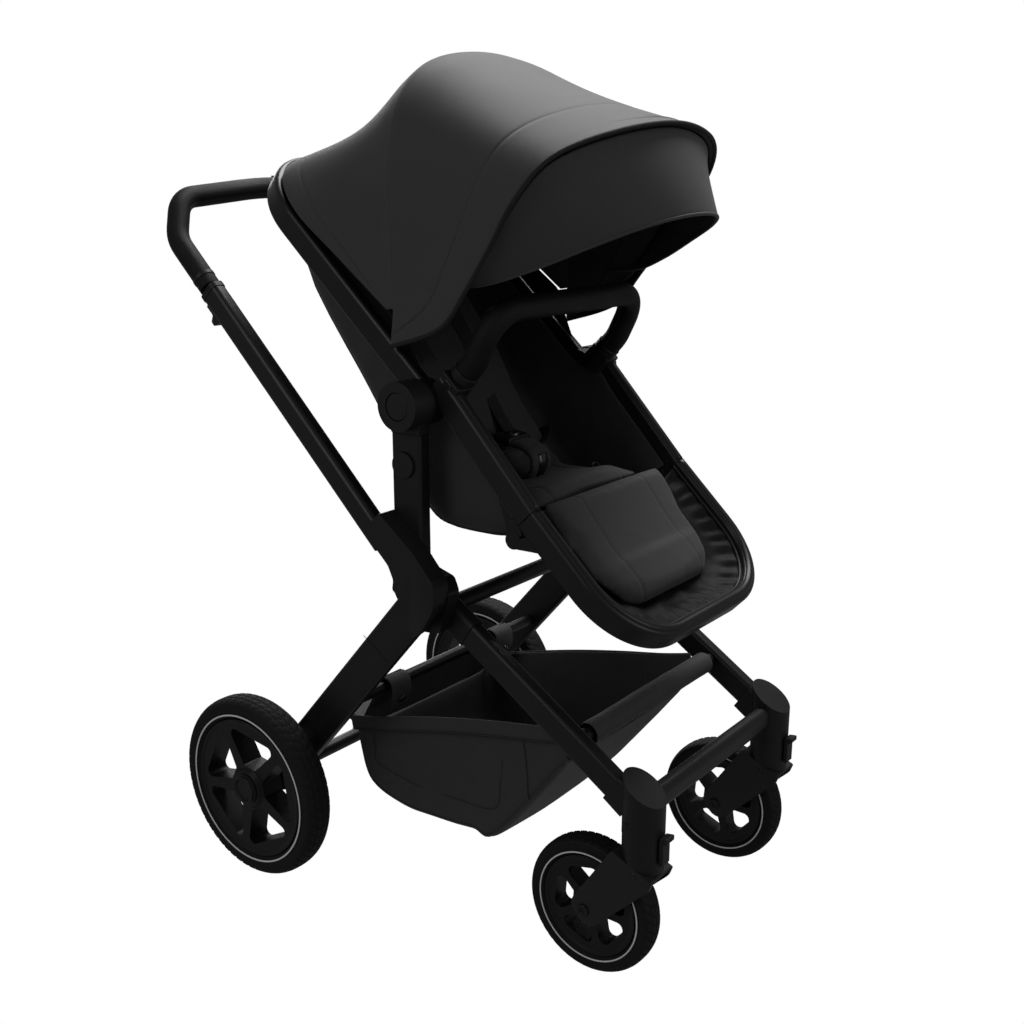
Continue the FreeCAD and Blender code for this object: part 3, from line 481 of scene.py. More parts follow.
def soft_edges(name, width=0.0012, angle=38.0, segments=2):
    """A CAD node keeps its mesh and gets rounded edges from modifiers."""
    part = NODES[name]
    if "custom_normal" in part.data.attributes:
        part.data.attributes.remove(part.data.attributes["custom_normal"])
    part.data.polygons.foreach_set("use_smooth", [True] * len(part.data.polygons))
    weld = part.modifiers.new("weld", "WELD")
    weld.merge_threshold = 1e-5
    flat = part.modifiers.new("flat", "DECIMATE")
    flat.decimate_type = "DISSOLVE"
    flat.angle_limit = math.radians(1.2)
    bevel = part.modifiers.new("edges", "BEVEL")
    bevel.width = width
    bevel.segments = segments
    bevel.limit_method = "ANGLE"
    bevel.angle_limit = math.radians(angle)
    bevel.harden_normals = False
    part.modifiers.new("shading", "WEIGHTED_NORMAL").keep_sharp = True


def puffed(piece, voxel, pressure, cap):
    """Blows a closed soft shape up a little as cloth, keeps each point within a cap, and rounds it off."""
    remesh = piece.modifiers.new("remesh", "REMESH")
    remesh.mode = "VOXEL"
    remesh.voxel_size = voxel
    apply_modifiers(piece)
    rest = np.array([v.co for v in piece.data.vertices], float)
    swell = piece.modifiers.new("cloth", "CLOTH")
    swell.settings.use_pressure = True
    swell.settings.uniform_pressure_force = pressure
    swell.settings.effector_weights.gravity = 0.0
    swell.settings.quality = 4
    swell.settings.tension_stiffness = 12
    swell.settings.compression_stiffness = 12
    swell.settings.bending_stiffness = 0.4
    swell.point_cache.frame_start = 1
    swell.point_cache.frame_end = 20
    for step in range(1, 17):
        scene.frame_set(step)
    apply_modifiers(piece)
    scene.frame_set(1)
    now = np.array([v.co for v in piece.data.vertices], float)
    moved = now - rest
    far = np.linalg.norm(moved, axis=1, keepdims=True)
    now = rest + moved * np.minimum(1.0, cap / np.maximum(far, 1e-9))
    piece.data.vertices.foreach_set("co", now.astype(np.float32).ravel())
    smooth = piece.modifiers.new("smooth", "SMOOTH")
    smooth.factor = 0.5
    smooth.iterations = 4
    piece.modifiers.new("round", "SUBSURF").levels = 1
    apply_modifiers(piece)
    piece.data.polygons.foreach_set("use_smooth", [True] * len(piece.data.polygons))
    return piece


def apply_modifiers(piece):
    evaluated = piece.evaluated_get(bpy.context.evaluated_depsgraph_get())
    mesh = bpy.data.meshes.new_from_object(evaluated)
    old = piece.data
    piece.modifiers.clear()
    piece.data = mesh
    bpy.data.meshes.remove(old)


def dent(piece, depth, width, distance):
    """Presses a seam into a surface: distance(point) is how far a point is from the seam line."""
    mesh = piece.data
    mesh.update()
    for vertex, normal in zip(mesh.vertices, [v.normal.copy() for v in mesh.vertices]):
        away = distance(vertex.co)
        if away < 3 * width:
            vertex.co -= normal * depth * math.exp(-(away / width) ** 2)
    mesh.update()


def declared_sheet(piece):
    """Evaluates a piece's mesh and clears it again; nothing about the piece is recorded."""
    evaluated = piece.evaluated_get(bpy.context.evaluated_depsgraph_get())
    mesh = evaluated.to_mesh()
    evaluated.to_mesh_clear()


# ------------------------------------------------------------------ the rigid frame

RAIL_X, RAIL_TALL, RAIL_WIDE = 184.0, 37.0, 20.0
RAIL_SLOPE = math.radians(47.0)
KNEE = 228.0
REST_SLOPE = math.radians(43.5)
REST_LENGTH = 218.0
BACK_SLOPE = math.radians(42.0)
BACK_LENGTH = 433.0
HANDLE_SLOPE = math.radians(44.6)


def rail(along, above=0.0):
    """(y, z) on the front rails' ridge line, counted from beside the hub."""
    return (-5 - along * math.cos(RAIL_SLOPE) - above * math.sin(RAIL_SLOPE),
            788 - along * math.sin(RAIL_SLOPE) + above * math.cos(RAIL_SLOPE))


def rest(along, above=0.0):
    """(y, z) on the leg rest loop's ridge line, counted from the knee."""
    y, z = rail(KNEE + 1.8, -RAIL_TALL / 2)
    above += RAIL_TALL / 2
    return (y - along * math.cos(REST_SLOPE) - above * math.sin(REST_SLOPE),
            z - along * math.sin(REST_SLOPE) + above * math.cos(REST_SLOPE))


def back(along, above=0.0):
    """(y, z) on the back loop's middle line, counted from the hub."""
    return (26 + along * math.cos(BACK_SLOPE) - above * math.sin(BACK_SLOPE),
            761 + along * math.sin(BACK_SLOPE) + above * math.cos(BACK_SLOPE))


def handle(along, above=0.0):
    """(y, z) on the handle tubes' axis."""
    return (76 + along * math.cos(HANDLE_SLOPE) - above * math.sin(HANDLE_SLOPE),
            573 + along * math.sin(HANDLE_SLOPE) + above * math.cos(HANDLE_SLOPE))


def node_slots():
    return {row["node"]: row["material_slot"] for row in frame["record"]["subparts"]}


def cad_parts():
    """Every CAD node gets its material; hard ones get rounded edges."""
    soft = {"seat_shell", "seat_pad", "harness", "canopy_rear_shell", "canopy_front_shell",
            "leg_rest_pad", "basket"}
    widths = {"hinge_casting": 0.0035, "caster_housing": 0.0016, "rear_leg": 0.003, "front_leg": 0.002,
              "seat_post": 0.0016, "seat_adapter": 0.0018, "caster_fork": 0.0016, "leg_brackets": 0.0012,
              "brake_pedal": 0.002, "rear_hub_cap": 0.001, "swivel_lock": 0.0009}
    for name, slot in node_slots().items():
        part = NODES[name]
        part.data.materials.clear()
        part.data.materials.append(MATERIALS[slot])
        if name in soft:
            continue
        width = next((w for key, w in widths.items() if name.startswith(key)), 0.0008)
        soft_edges(name, width)


def rail_ridges():
    """The glossy bead along the seat rails and round the leg rest loop, and the line beside it."""
    bead = [(6.6 * MM * math.cos(a), 6.6 * MM * math.sin(a)) for a in [math.pi * k / 9 for k in range(10)]]
    bead = [(6.6 * MM, -0.004)] + bead + [(-6.6 * MM, -0.004)]
    up = Vector((0, -math.sin(RAIL_SLOPE), math.cos(RAIL_SLOPE)))
    made = []
    for _, s in SIDES:
        line = [at(s * (RAIL_X - 1.5), *rail(10 + 216 * k / 40, -3.5)) for k in range(41)]
        made.append(carried("ridge", line, bead, up))
    finish_piece(joined("seat_rail_ridges", made), "frame_metal", "seat")
    up = Vector((0, -math.sin(REST_SLOPE), math.cos(REST_SLOPE)))
    x = RAIL_X - 1.5
    start, end = rest(0.5, -3.5), rest(REST_LENGTH - 1.5, -3.5)
    line = cornered([(at(-x, *start), 0), (at(-x, *end), 0.1045), (at(x, *end), 0.1045), (at(x, *start),
            0)], 0.006)
    finish_piece(carried("leg_rest_ridge", line, bead, up), "frame_metal", "leg_rest")
    # A thin lip hides the seam where the cloth enters the rail's inner side.
    x = RAIL_X - RAIL_WIDE / 2 - 0.6
    start, end = rest(0.5, -12), rest(REST_LENGTH - 10.6, -12)
    line = cornered([(at(-x, *start), 0), (at(-x, *end), 0.095), (at(x, *end), 0.095), (at(x, *start),
            0)], 0.006)
    finish_piece(carried("leg_rest_lip", line, disc(0.0022, 8), up), "black_plastic", "leg_rest")


def knee_clips():
    """The hinge cover and its latch under each knee."""
    made = []
    for _, s in SIDES:
        y, z = rail(KNEE - 4, -RAIL_TALL - 1)
        outline = [(y + 10, z + 6), (y + 9, z - 4), (y + 4, z - 13), (y - 2, z - 17), (y - 9, z - 17),
                   (y - 12, z - 12),
                   (y - 9, z - 7), (y - 13, z - 3), (y - 18, z + 1), (y - 14, z + 9)]
        made.append(plate("clip", outline, s * (RAIL_X - 8), s * (RAIL_X + 8)))
    piece = joined("knee_latches", made)
    rounded(piece, 0.0022)
    finish_piece(piece, "black_plastic", "seat")


def plate(name, outline, x0, x1):
    """A flat plate: an outline in the side view with rounded corners, from x0 to x1."""
    points = [at(x0, y, z) for y, z in outline] + [at(x1, y, z) for y, z in outline]
    n = len(outline)
    faces = [tuple(range(n)), tuple(range(n, 2 * n))]
    faces += [(i, (i + 1) % n, n + (i + 1) % n, n + i) for i in range(n)]
    return mesh_piece(name, points, faces)


def rounded(piece, width, segments=3, angle=30.0):
    bevel = piece.modifiers.new("edges", "BEVEL")
    bevel.width = width
    bevel.segments = segments
    bevel.limit_method = "ANGLE"
    bevel.angle_limit = math.radians(angle)
    piece.modifiers.new("shading", "WEIGHTED_NORMAL").keep_sharp = True


def bumper_fittings():
    """On each rail: the upright clip with its square button, and the ferrule where the padded bar ends."""
    slope = math.radians(46.0)
    axis = Vector((0, -math.cos(slope), math.sin(slope)))
    clips, buttons, ferrules = [], [], []

    def spot(x, along, above=0.0):
        return at(x, -29 - along * math.cos(slope) - above * math.sin(slope),
                  776 + along * math.sin(slope) - above * math.cos(slope))

    for _, s in SIDES:
        line = [spot(s * 176, -30 + 2 * k) for k in range(15)]
        clips.append(carried("clip", line, box_section(0.034, 0.036, 0.004), (0, 1, 1)))
        line = [spot(s * 192, -17 + 1.2 * k) for k in range(11)]
        buttons.append(carried("button", line, box_section(0.006, 0.013, 0.0016), (0, 1, 1)))
        line = [spot(s * 170, -1 + 1.5 * k) for k in range(10)]
        ferrules.append(carried("ferrule", line, disc(0.0184, 28), (0, 1, 1)))
    clip = joined("bumper_clips", clips)
    rounded(clip, 0.0014)
    finish_piece(clip, "black_plastic", "seat")
    button = joined("bumper_clip_buttons", buttons)
    rounded(button, 0.0008)
    finish_piece(button, "black_plastic", "seat", made=GLOSS)
    ferrule = joined("bumper_ferrules", ferrules)
    rounded(ferrule, 0.001)
    finish_piece(ferrule, "black_plastic", "bumper")
    # The seam of the bar's leatherette cover, along its underside.
    x, far = 170.0, (-84.0, 866.0)
    under = Vector((0, -math.sin(slope), -math.cos(slope)))
    corners = [(spot(-x, 14), 0), (spot(-x, 30), 0.06), (at(-x, *far), 0.046), (at(x, *far), 0.046),
               (spot(x, 30), 0.06), (spot(x, 14), 0)]
    line = cornered(corners, 0.004)
    inside = [p + seam_side(line, i, axis) * 0.0169 for i, p in enumerate(line)]
    finish_piece(carried("bumper_seam", inside, disc(0.0011, 7), under), "leatherette", "bumper",
                 made=THREAD)


def seam_side(line, i, axis):
    """The direction from a bent bar's middle line to its inner side."""
    a, b = line[max(i - 1, 0)], line[min(i + 1, len(line) - 1)]
    along = (b - a).normalized()
    middle = Vector((0, line[i].y, line[i].z)) - axis * 0.06
    inward = middle - line[i]
    inward -= along * inward.dot(along)
    return inward.normalized()


def box_section(width, height, radius, count=4):
    section = []
    for cx, cy, start in ((1, 1, 0), (-1, 1, 90), (-1, -1, 180), (1, -1, 270)):
        for k in range(count + 1):
            angle = math.radians(start + 90 * k / count)
            section.append((cx * (width / 2 - radius) + radius * math.cos(angle),
                            cy * (height / 2 - radius) + radius * math.sin(angle)))
    return section


def turned(name, centre, profile, count=96, closed=False):
    """A solid of revolution about the X axis: profile points are (x offset, radius)."""
    rows = []
    for k in range(count):
        angle = 2 * math.pi * k / count
        rows.append([centre + Vector((x, r * math.cos(angle), r * math.sin(angle))) * MM for x,
                     r in profile])
    faces = lattice_faces(count, len(profile), wrap_rows=True, wrap_columns=closed)
    return mesh_piece(name, [p for row in rows for p in row], faces)


def tyre(label, s, kind, centre, radius, width, seat_radius, blocks):
    """A tyre with a block tread: grooves run round it and slanting cuts cross its shoulders."""
    half = width / 2
    profile = [(-half * 0.82, seat_radius + 1.5)]
    sides = 9
    for k in range(1, sides):
        t = k / sides
        profile.append((-half * (0.82 + 0.18 * math.sin(math.pi * t * 0.62)),
                        seat_radius + (radius * 0.955 - seat_radius) * t))
    across = 24
    for k in range(across + 1):
        t = -1 + 2 * k / across
        edge = abs(t) ** 3.2
        profile.append((half * t * 0.955, radius - (radius * 0.045) * edge))
    for k in range(sides - 1, 0, -1):
        t = k / sides
        profile.append((half * (0.82 + 0.18 * math.sin(math.pi * t * 0.62)),
                        seat_radius + (radius * 0.955 - seat_radius) * t))
    profile.append((half * 0.82, seat_radius + 1.5))
    count = blocks * 6
    rows = []
    first, last = sides, sides + across
    for i in range(count):
        row = []
        for j, (x, r) in enumerate(profile):
            cut = 0.0
            if first <= j <= last:
                k = j - first
                if k in (6, 18, 12):
                    cut = 1.9
                slant = (i + abs(k - 12) // 2) % 6
                if slant == 0 and k not in (11, 12, 13):
                    cut = max(cut, 1.7)
            angle = 2 * math.pi * i / count
            rr = r - cut
            row.append(centre + Vector((x, rr * math.cos(angle), rr * math.sin(angle))) * MM)
        rows.append(row)
    inner = [centre + Vector((x, seat_radius * math.cos(2 * math.pi * i / count),
                              seat_radius * math.sin(2 * math.pi * i / count))) * MM
             for i in range(count) for x in (half * 0.7, -half * 0.7)]
    for i, row in enumerate(rows):
        row += inner[2 * i:2 * i + 2]
    faces = lattice_faces(count, len(rows[0]), wrap_rows=True, wrap_columns=True)
    piece = mesh_piece(f"{kind}_tread_tyre_{label}", [p for row in rows for p in row], faces)
    finish_piece(piece, "tyre_rubber", f"{kind}_wheel_{label}", replaces=(f"{kind}_tyre_{label}",))


def reflective_ring(label, kind, centre, radius, face, width):
    """The pale band on both faces of a wheel."""
    made = []
    for side in (-1, 1):
        x = side * face
        profile = [(x - side * 1.0, radius - width), (x, radius - width), (x + side * 0.35,
                radius - width * 0.5),
                   (x + side * 0.35, radius + width * 0.5), (x, radius + width), (x - side * 1.0,
                           radius + width)]
        made.append(turned("band", centre, profile, 144, closed=True))
    piece = joined(f"{kind}_reflective_band_{label}", made)
    finish_piece(piece, "rim_plastic", f"{kind}_wheel_{label}", made=REFLECTIVE)


def wheels():
    for label, s in SIDES:
        tyre(label, s, "rear", at(s * 283, 290, 140), 140.0, 44.0, 108.6, 58)
        tyre(label, s, "front", at(s * 181, -256, 95.6), 95.6, 35.0, 71.6, 48)
        reflective_ring(label, "rear", at(s * 283, 290, 140), 115.4, 22.4, 1.25)
        reflective_ring(label, "front", at(s * 181, -256, 95.6), 76.6, 17.9, 1.0)
        # A ring on the hub cap's face, at its dark gap.
        face = at(s * 311.4, 290, 140)
        ring = turned("ring", face, [(0, 17.5), (s * 0.8, 18.2), (s * 0.8, 20.4), (0, 21.2)], 72)
        finish_piece(ring, "rim_plastic", f"rear_wheel_{label}")
        ring.name = f"hub_cap_bead_{label}"


def casters():
    """A notch on both sides of each caster housing, and a screw recess on both sides of each fork."""
    notches, recesses = [], []
    for label, s in SIDES:
        for side in (-1, 1):
            x = s * 181 + side * 27.4
            centre = at(x, -322, 238)
            line = [centre + Vector((0, d * MM, 0)) for d in (-9, -4, 0, 4, 9)]
            notches.append(carried("notch", line, box_section(0.0016, 0.009, 0.0006), (0, 0, 1)))
            spot = at(s * 181 + side * 26.6, -330, 172)
            recesses.append(turned("screw", spot, [(0, 5.8), (side * 0.9, 5.2), (side * 0.9, 3.6),
                                                   (side * 0.1, 3.0),
                                                   (side * 0.1, 0.2)], 32))
        screw = joined(f"fork_screws_{label}", recesses)
        finish_piece(screw, "bolt_steel", f"caster_{label}")
        recesses = []
    notch = joined("housing_notches", notches)
    finish_piece(notch, "black_plastic", "frame")


def handle_details():
    """End rings of the grip, its sewn seam, and the collar at the top of each outer tube."""
    rings, collars = [], []
    for label, s in SIDES:
        # the grip follows the bar from its knee up; a ring closes its lower end
        low = at(s * 237, *handle(446))
        axis = Vector((0, math.cos(HANDLE_SLOPE), math.sin(HANDLE_SLOPE)))
        rings.append(carried("ring", [low + axis * (d * MM) for d in (0, 1, 2, 4, 5, 6)], disc(0.0168,
                28), (1, 0, 0)))
        top = at(s * 237, *handle(425))
        collars.append(carried("collar", [top + axis * (d * MM) for d in (-6, -5, -2, 0, 2, 3)],
                               box_section(0.0256, 0.0376, 0.009), (0, -1, 1)))
    ring = joined("grip_end_rings", rings)
    rounded(ring, 0.0006)
    finish_piece(ring, "black_plastic", "handle")
    collar = joined("handle_tube_collars", collars)
    rounded(collar, 0.0006)
    finish_piece(collar, "black_plastic", "frame")
    # The cover's whip-stitched seam runs along the inner side of the crossbar.
    x = 237.0
    knee, top = handle(526), (475.0, 999.0)
    corners = [(at(-x, *handle(456)), 0), (at(-x, *knee), 0.06), (at(-208, *top), 0.045), (at(0, 484,
            1018), 0.9),
               (at(208, *top), 0.045), (at(x, *knee), 0.06), (at(x, *handle(456)), 0)]
    line = cornered(corners, 0.003)
    inward = Vector((0, -1, -0.55)).normalized()
    seam = []
    for i, (p, along) in enumerate(zip(line, directions(line, False))):
        side = inward - along * inward.dot(along)
        seam.append(p + side.normalized() * 0.0158)
    threads = []
    for i in [k for k, p in enumerate(line) if abs(p.x) < 0.2 and k % 2 == 0]:
        along = (seam[i + 1] - seam[i - 1]).normalized()
        out = (seam[i] - line[i]).normalized()
        cross = along.cross(out)
        a = seam[i] - cross * 0.0024 - along * 0.0008
        b = seam[i] + cross * 0.0024 + along * 0.0008
        threads.append(carried("whip", [a - out * 0.0005, (a + b) / 2 + out * 0.0006, b - out * 0.0005],
                               disc(0.0006, 6), out))
    thread = joined("grip_stitching", threads)
    finish_piece(thread, "leatherette", "handle", made=THREAD)
    groove = carried("grip_seam", [p for p in seam if abs(p.x) < 0.21], disc(0.0009, 6), inward)
    finish_piece(groove, "leatherette", "handle", made=THREAD)


def small_lines():
    """Joint lines between moulded parts: fine dark grooves shown as recessed strips."""
    made = []
    for _, s in SIDES:
        # rear leg cover plate
        for side in (-1, 1):
            x = s * 231.2 + side * 8.9
            line = [at(x, 98, 410), at(x, 86, 403), at(x, 72, 394), at(x, 52, 380)]
            made.append(carried("line", line, disc(0.00045, 6), (1, 0, 0)))
    piece = joined("leg_joint_lines", made)
    finish_piece(piece, "black_plastic", "rear_frame", made=THREAD)


# ------------------------------------------------------------------ the hood

PIVOT = (62.0, 850.0)
REAR_EDGE = [(200, 16), (200, 128), (198, 222), (163, 300), (95, 330), (0, 337)]
MIDDLE = [(201, 12), (202, 128), (201, 202), (178, 283), (116, 333), (0, 350)]
# Each point of the front edge has its own angle.
FRONT_ARCH = [(204, 38, 277), (206, 83, 186), (208, 134, 162), (212, 197, 150), (218, 262, 144), (195,
        321, 141),
              (113, 369, 141), (0, 389, 141)]
HOOD_STEPS = 96
REAR_ANGLE, MIDDLE_ANGLE = 39, 90


def arch(half, lift=0.0, turn=0.0, narrow=0.0):
    """A smooth curve over the hood whose points each have an angle about the pivot."""
    full = half + [(-x, r, a) for x, r, a in reversed(half[:-1])]
    points = []
    for x, r, angle in full:
        swing = math.radians(angle + turn)
        points.append(at(x * (1 - narrow / 200), PIVOT[0] + (r + lift) * math.cos(swing),
                         PIVOT[1] + (r + lift) * math.sin(swing)))
    return spline(points, HOOD_STEPS)


def between(a, b, share):
    return [p.lerp(q, share) for p, q in zip(a, b)]


def hood():
    """One sheet stretched over three bows, its seams, hem and edge piping."""
    rear = arch([(x, r, REAR_ANGLE) for x, r in REAR_EDGE])
    middle = arch([(x, r, MIDDLE_ANGLE) for x, r in MIDDLE])
    front = arch(FRONT_ARCH)
    away = Vector((0, math.sin(BACK_SLOPE), -math.cos(BACK_SLOPE))) * 0.011
    hem = [p + away * min(1.0, 4 * min(i, HOOD_STEPS - 1 - i) / HOOD_STEPS) for i, p in enumerate(rear)]
    seams = {"rear": 0.1, "middle": 1.0, "front": 1.72}
    fine = {0.0, 2.0}
    for place_of in seams.values():
        fine |= {round(place_of + d, 4) for d in (-0.024, -0.012, -0.006, 0.0, 0.006, 0.012, 0.024)}
    fine |= {k / 28 for k in range(57)}
    ordered = sorted(fine)
    shares = [ordered[0]]
    for t in ordered[1:]:
        if t - shares[-1] > 0.0045:
            shares.append(t)
    rows = [hem]
    for t in shares:
        flat = between(rear, middle, t) if t <= 1 else between(middle, front, t - 1)
        # The cloth turns smoothly over the middle bow, and hangs in a little between the bows.
        if abs(t - 1) < 0.16:
            low = between(rear, middle, 0.84)
            high = between(middle, front, 0.16)
            chord = between(low, high, (t - 0.84) / 0.32)
            weight = 0.30 * (1 - (abs(t - 1) / 0.16) ** 2) ** 2
            flat = between(flat, chord, weight)
        row = []
        for i, p in enumerate(flat):
            u = abs(2 * i / (HOOD_STEPS - 1) - 1)
            centre = Vector((0, PIVOT[0] - CENTRING, PIVOT[1])) * MM
            outward = (p - centre).normalized()
            span = math.sin(math.pi * (t % 1.0)) if 0 < t < 2 else 0.0
            sag = (-0.023 if t < 1 else -0.0085) * span * (1 - u * u)
            wobble = 0.0011 * noise.noise(p * 9.0) * span
            groove = 0.0
            for where in seams.values():
                groove -= 0.0011 * math.exp(-((t - where) / 0.0085) ** 2)
            row.append(p + outward * (sag + wobble + groove))
        rows.append(row)
    cover = surface_piece("hood_cover", rows, 0.0016, smooth=1)
    finish_piece(cover, "hood_fabric", replaces=("canopy_rear_shell",))
    edge = rows[-1]
    crown = Vector((0, 0, 1))
    # Piping along the front edge, and the turned-under hem behind it.
    piping = carried("hood_edge_piping", edge, disc(0.0031, 10), crown)
    finish_piece(piping, "hood_fabric", "canopy", made=THREAD)
    inner = arch(FRONT_ARCH, lift=-10, narrow=2)
    below = arch(FRONT_ARCH, lift=-13, turn=-3.5, narrow=4)
    hem_rows = [edge, between(edge, inner, 0.5), inner, below]
    turned_under = surface_piece("hood_front_hem", [r[2:-2] for r in hem_rows], 0.0014, smooth=1)
    finish_piece(turned_under, "hood_fabric", "canopy", made=ELASTIC)
    hood_gusset(hem)
    visor()
    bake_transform(cover)
    declared_sheet(cover)


def hood_gusset(hem):
    """The dark cloth that closes the gap between the hood's rear hem and the back frame."""
    rows = []
    count = 64
    top_line = evenly(hem, count)
    x = RAIL_X - 2
    corners = [(at(x, *back(20, 12)), 0), (at(x, *back(BACK_LENGTH - 2, 12)), 0.106),
               (at(-x, *back(BACK_LENGTH - 2, 12)), 0.106), (at(-x, *back(20, 12)), 0)]
    low_line = evenly(cornered(corners, 0.006), count)
    for k in range(5):
        f = k / 4
        inset = 1 - 0.02 * math.sin(math.pi * f)
        rows.append([Vector((p.x * inset * 0.985, p.y, p.z)) for p in between(top_line, low_line, f)])
    piece = surface_piece("hood_rear_gusset", rows, 0.0014, smooth=1)
    finish_piece(piece, "hood_fabric", "seat", made=ELASTIC)
    declared_sheet(piece)


VISOR_LOW = [(203, 0, 893), (186, -72, 898), (160, -130, 917), (128, -190, 944), (94, -241, 967), (50,
        -271, 980),
             (0, -280, 984)]


def visor():
    """The stiff peak inside the front arch: its upper edge is set back under the piping."""
    top = arch([(200, 100, 165)] + [(x * 0.955, r - 9, a) for x, r, a in FRONT_ARCH[2:]])
    low_half = [at(x, y, z) for x, y, z in VISOR_LOW]
    low = spline(low_half + [Vector((-p.x, p.y, p.z)) for p in reversed(low_half[:-1])], HOOD_STEPS)
    rows = []
    steps = 22
    for k in range(steps + 1):
        f = k / steps
        row = []
        for i, p in enumerate(between(top, low, f)):
            u = abs(2 * i / (HOOD_STEPS - 1) - 1)
            out = Vector((p.x * 2.2, -0.30, 0.12)).normalized()
            row.append(p + out * 0.003 * math.sin(math.pi * min(f,
                    0.9) / 0.9 * 0.5) * math.sin(math.pi * f * 0.5 + 0.3)
                       * (1 - u ** 3))
        rows.append(row)
    piece = surface_piece("hood_visor", rows, 0.0022, smooth=1)
    finish_piece(piece, "hood_fabric", "canopy", replaces=("canopy_front_shell",))
    rim = carried("hood_visor_binding", rows[-1], disc(0.0023, 10), (0, -0.5, 1))
    finish_piece(rim, "hood_fabric", "canopy")
    declared_sheet(piece)


# ------------------------------------------------------------------ the seat

TUB = [  # top (y, z), bottom (y, z), half width
    (rail(220, -22), (-121, 600), 171), (rail(205, -22), (-104, 573), 172), (rail(170, -22), (-76, 563),
            172),
    (rail(130, -22), (-38, 561), 172), (rail(80, -22), (0, 562), 172), (rail(35, -20), (34, 572), 170),
    ((20, 752), (70, 610), 164), (back(60), (104, 656), 164), (back(120), (137, 702), 165),
    (back(180), (174, 755), 166), (back(240), (216, 811), 166), (back(300), (258, 866), 163),
    (back(350), (291, 912), 152), (back(390), (316, 953), 128), (back(418), (334, 1002), 96)]


def tub():
    """The sewn cloth shell that hangs from the rails and the back loop."""
    tops = spline([at(0, *t) for t, _, _ in TUB], 90)
    lows = spline([at(0, *b) for _, b, _ in TUB], 90)
    halves = np.interp(np.linspace(0, len(TUB) - 1, 90), range(len(TUB)), [h for _, _, h in TUB]) * MM
    rows = []
    for i, (top, low, half) in enumerate(zip(tops, lows, halves)):
        down = low - top
        deep = down.length
        down.normalize()
        corner = min(0.034, deep * 0.45, half * 0.5)
        waist = half - 0.004
        side = [(half - (half - waist) * k / 9, (deep - corner) * k / 9) for k in range(9)]
        arc = [(waist - corner + corner * math.cos(math.pi / 2 * k / 7),
                deep - corner + corner * math.sin(math.pi / 2 * k / 7)) for k in range(8)]
        floor = [((waist - corner) * (1 - k / 9),
                  deep + 0.002 * math.sin(math.pi * k / 18)) for k in range(1, 10)]
        half_row = side + arc + floor
        full = half_row + [(-x, d) for x, d in reversed(half_row[:-1])]
        row = []
        for j, (x, d) in enumerate(full):
            point = top + down * d + Vector((x, 0, 0))
            share = min(1.0, d / deep)
            crease = noise.noise(Vector((point.x * 7, point.y * 16, point.z * 16)))
            fold = noise.noise(Vector((point.x * 20 + 3, point.y * 38, point.z * 30)))
            push = (0.0032 * crease + 0.0012 * fold) * math.sin(math.pi * min(share, 0.97))
            out = Vector((math.copysign(1, x) if abs(x) > waist - corner * 0.3 else 0, 0, 0))
            out += down * (1 if share > 0.95 else 0)
            if out.length > 0:
                point += out.normalized() * push
            row.append(point)
        rows.append(row)
    shell = surface_piece("seat_cloth_shell", rows, 0.0026, smooth=1)
    finish_piece(shell, "seat_fabric", "seat", replaces=("seat_shell",))
    # Piping along the lower edge on both sides.
    pipes = []
    for s in (0, 1):
        pick = 13 if s == 0 else len(rows[0]) - 14
        line = [row[pick] + (row[pick] - row[len(row) // 2]).normalized() * 0.0012 for row in rows[:84]]
        pipes.append(carried("pipe", line, disc(0.0021, 8), (1, 0, 0)))
    pipe = joined("seat_shell_piping", pipes)
    finish_piece(pipe, "seat_fabric", "seat", made=THREAD)
    declared_sheet(shell)


PAD_LINE = [(-126, 612), (-108, 609), (-70, 597), (-30, 590), (10, 590), (42, 608), (72, 648), (104,
        694), (152, 766),
            (200, 828), (246, 892), (284, 952), (298, 984)]


def slab(name, line, halves, thick, crown=0.25, across=26, power=5.0):
    """A closed cushion along a line in the side view: rounded edges, a crowned face and narrowed ends."""
    count = len(line)
    along = directions(line, False)
    tops, bottoms = [], []
    for i, (point, way) in enumerate(zip(line, along)):
        normal = Vector((0, -way.z, way.y))
        if normal.z < 0 and abs(normal.z) > abs(normal.y):
            normal.negate()
        t = i / (count - 1)
        ends = (1 - abs(2 * t - 1) ** 14) ** 0.5 if 0 < t < 1 else 0.0
        top, bottom = [], []
        for j in range(across + 1):
            u = -1 + 2 * j / across
            edge = (1 - abs(u) ** power) ** 0.5 if abs(u) < 1 else 0.0
            x = u * halves[i]
            lift = thick * (0.5 + crown * (1 - u * u))
            top.append(point + normal * lift * edge * ends + Vector((x, 0, 0)))
            bottom.append(point - normal * thick * 0.5 * edge * ends + Vector((x, 0, 0)))
        tops.append(top)
        bottoms.append(bottom)
    rows = [t + list(reversed(b[1:-1])) for t, b in zip(tops, bottoms)]
    columns = len(rows[0])
    faces = lattice_faces(count, columns, wrap_columns=True)
    faces.append(tuple(range(columns)))
    faces.append(tuple(range((count - 1) * columns, count * columns)))
    return mesh_piece(name, [p for row in rows for p in row], faces)


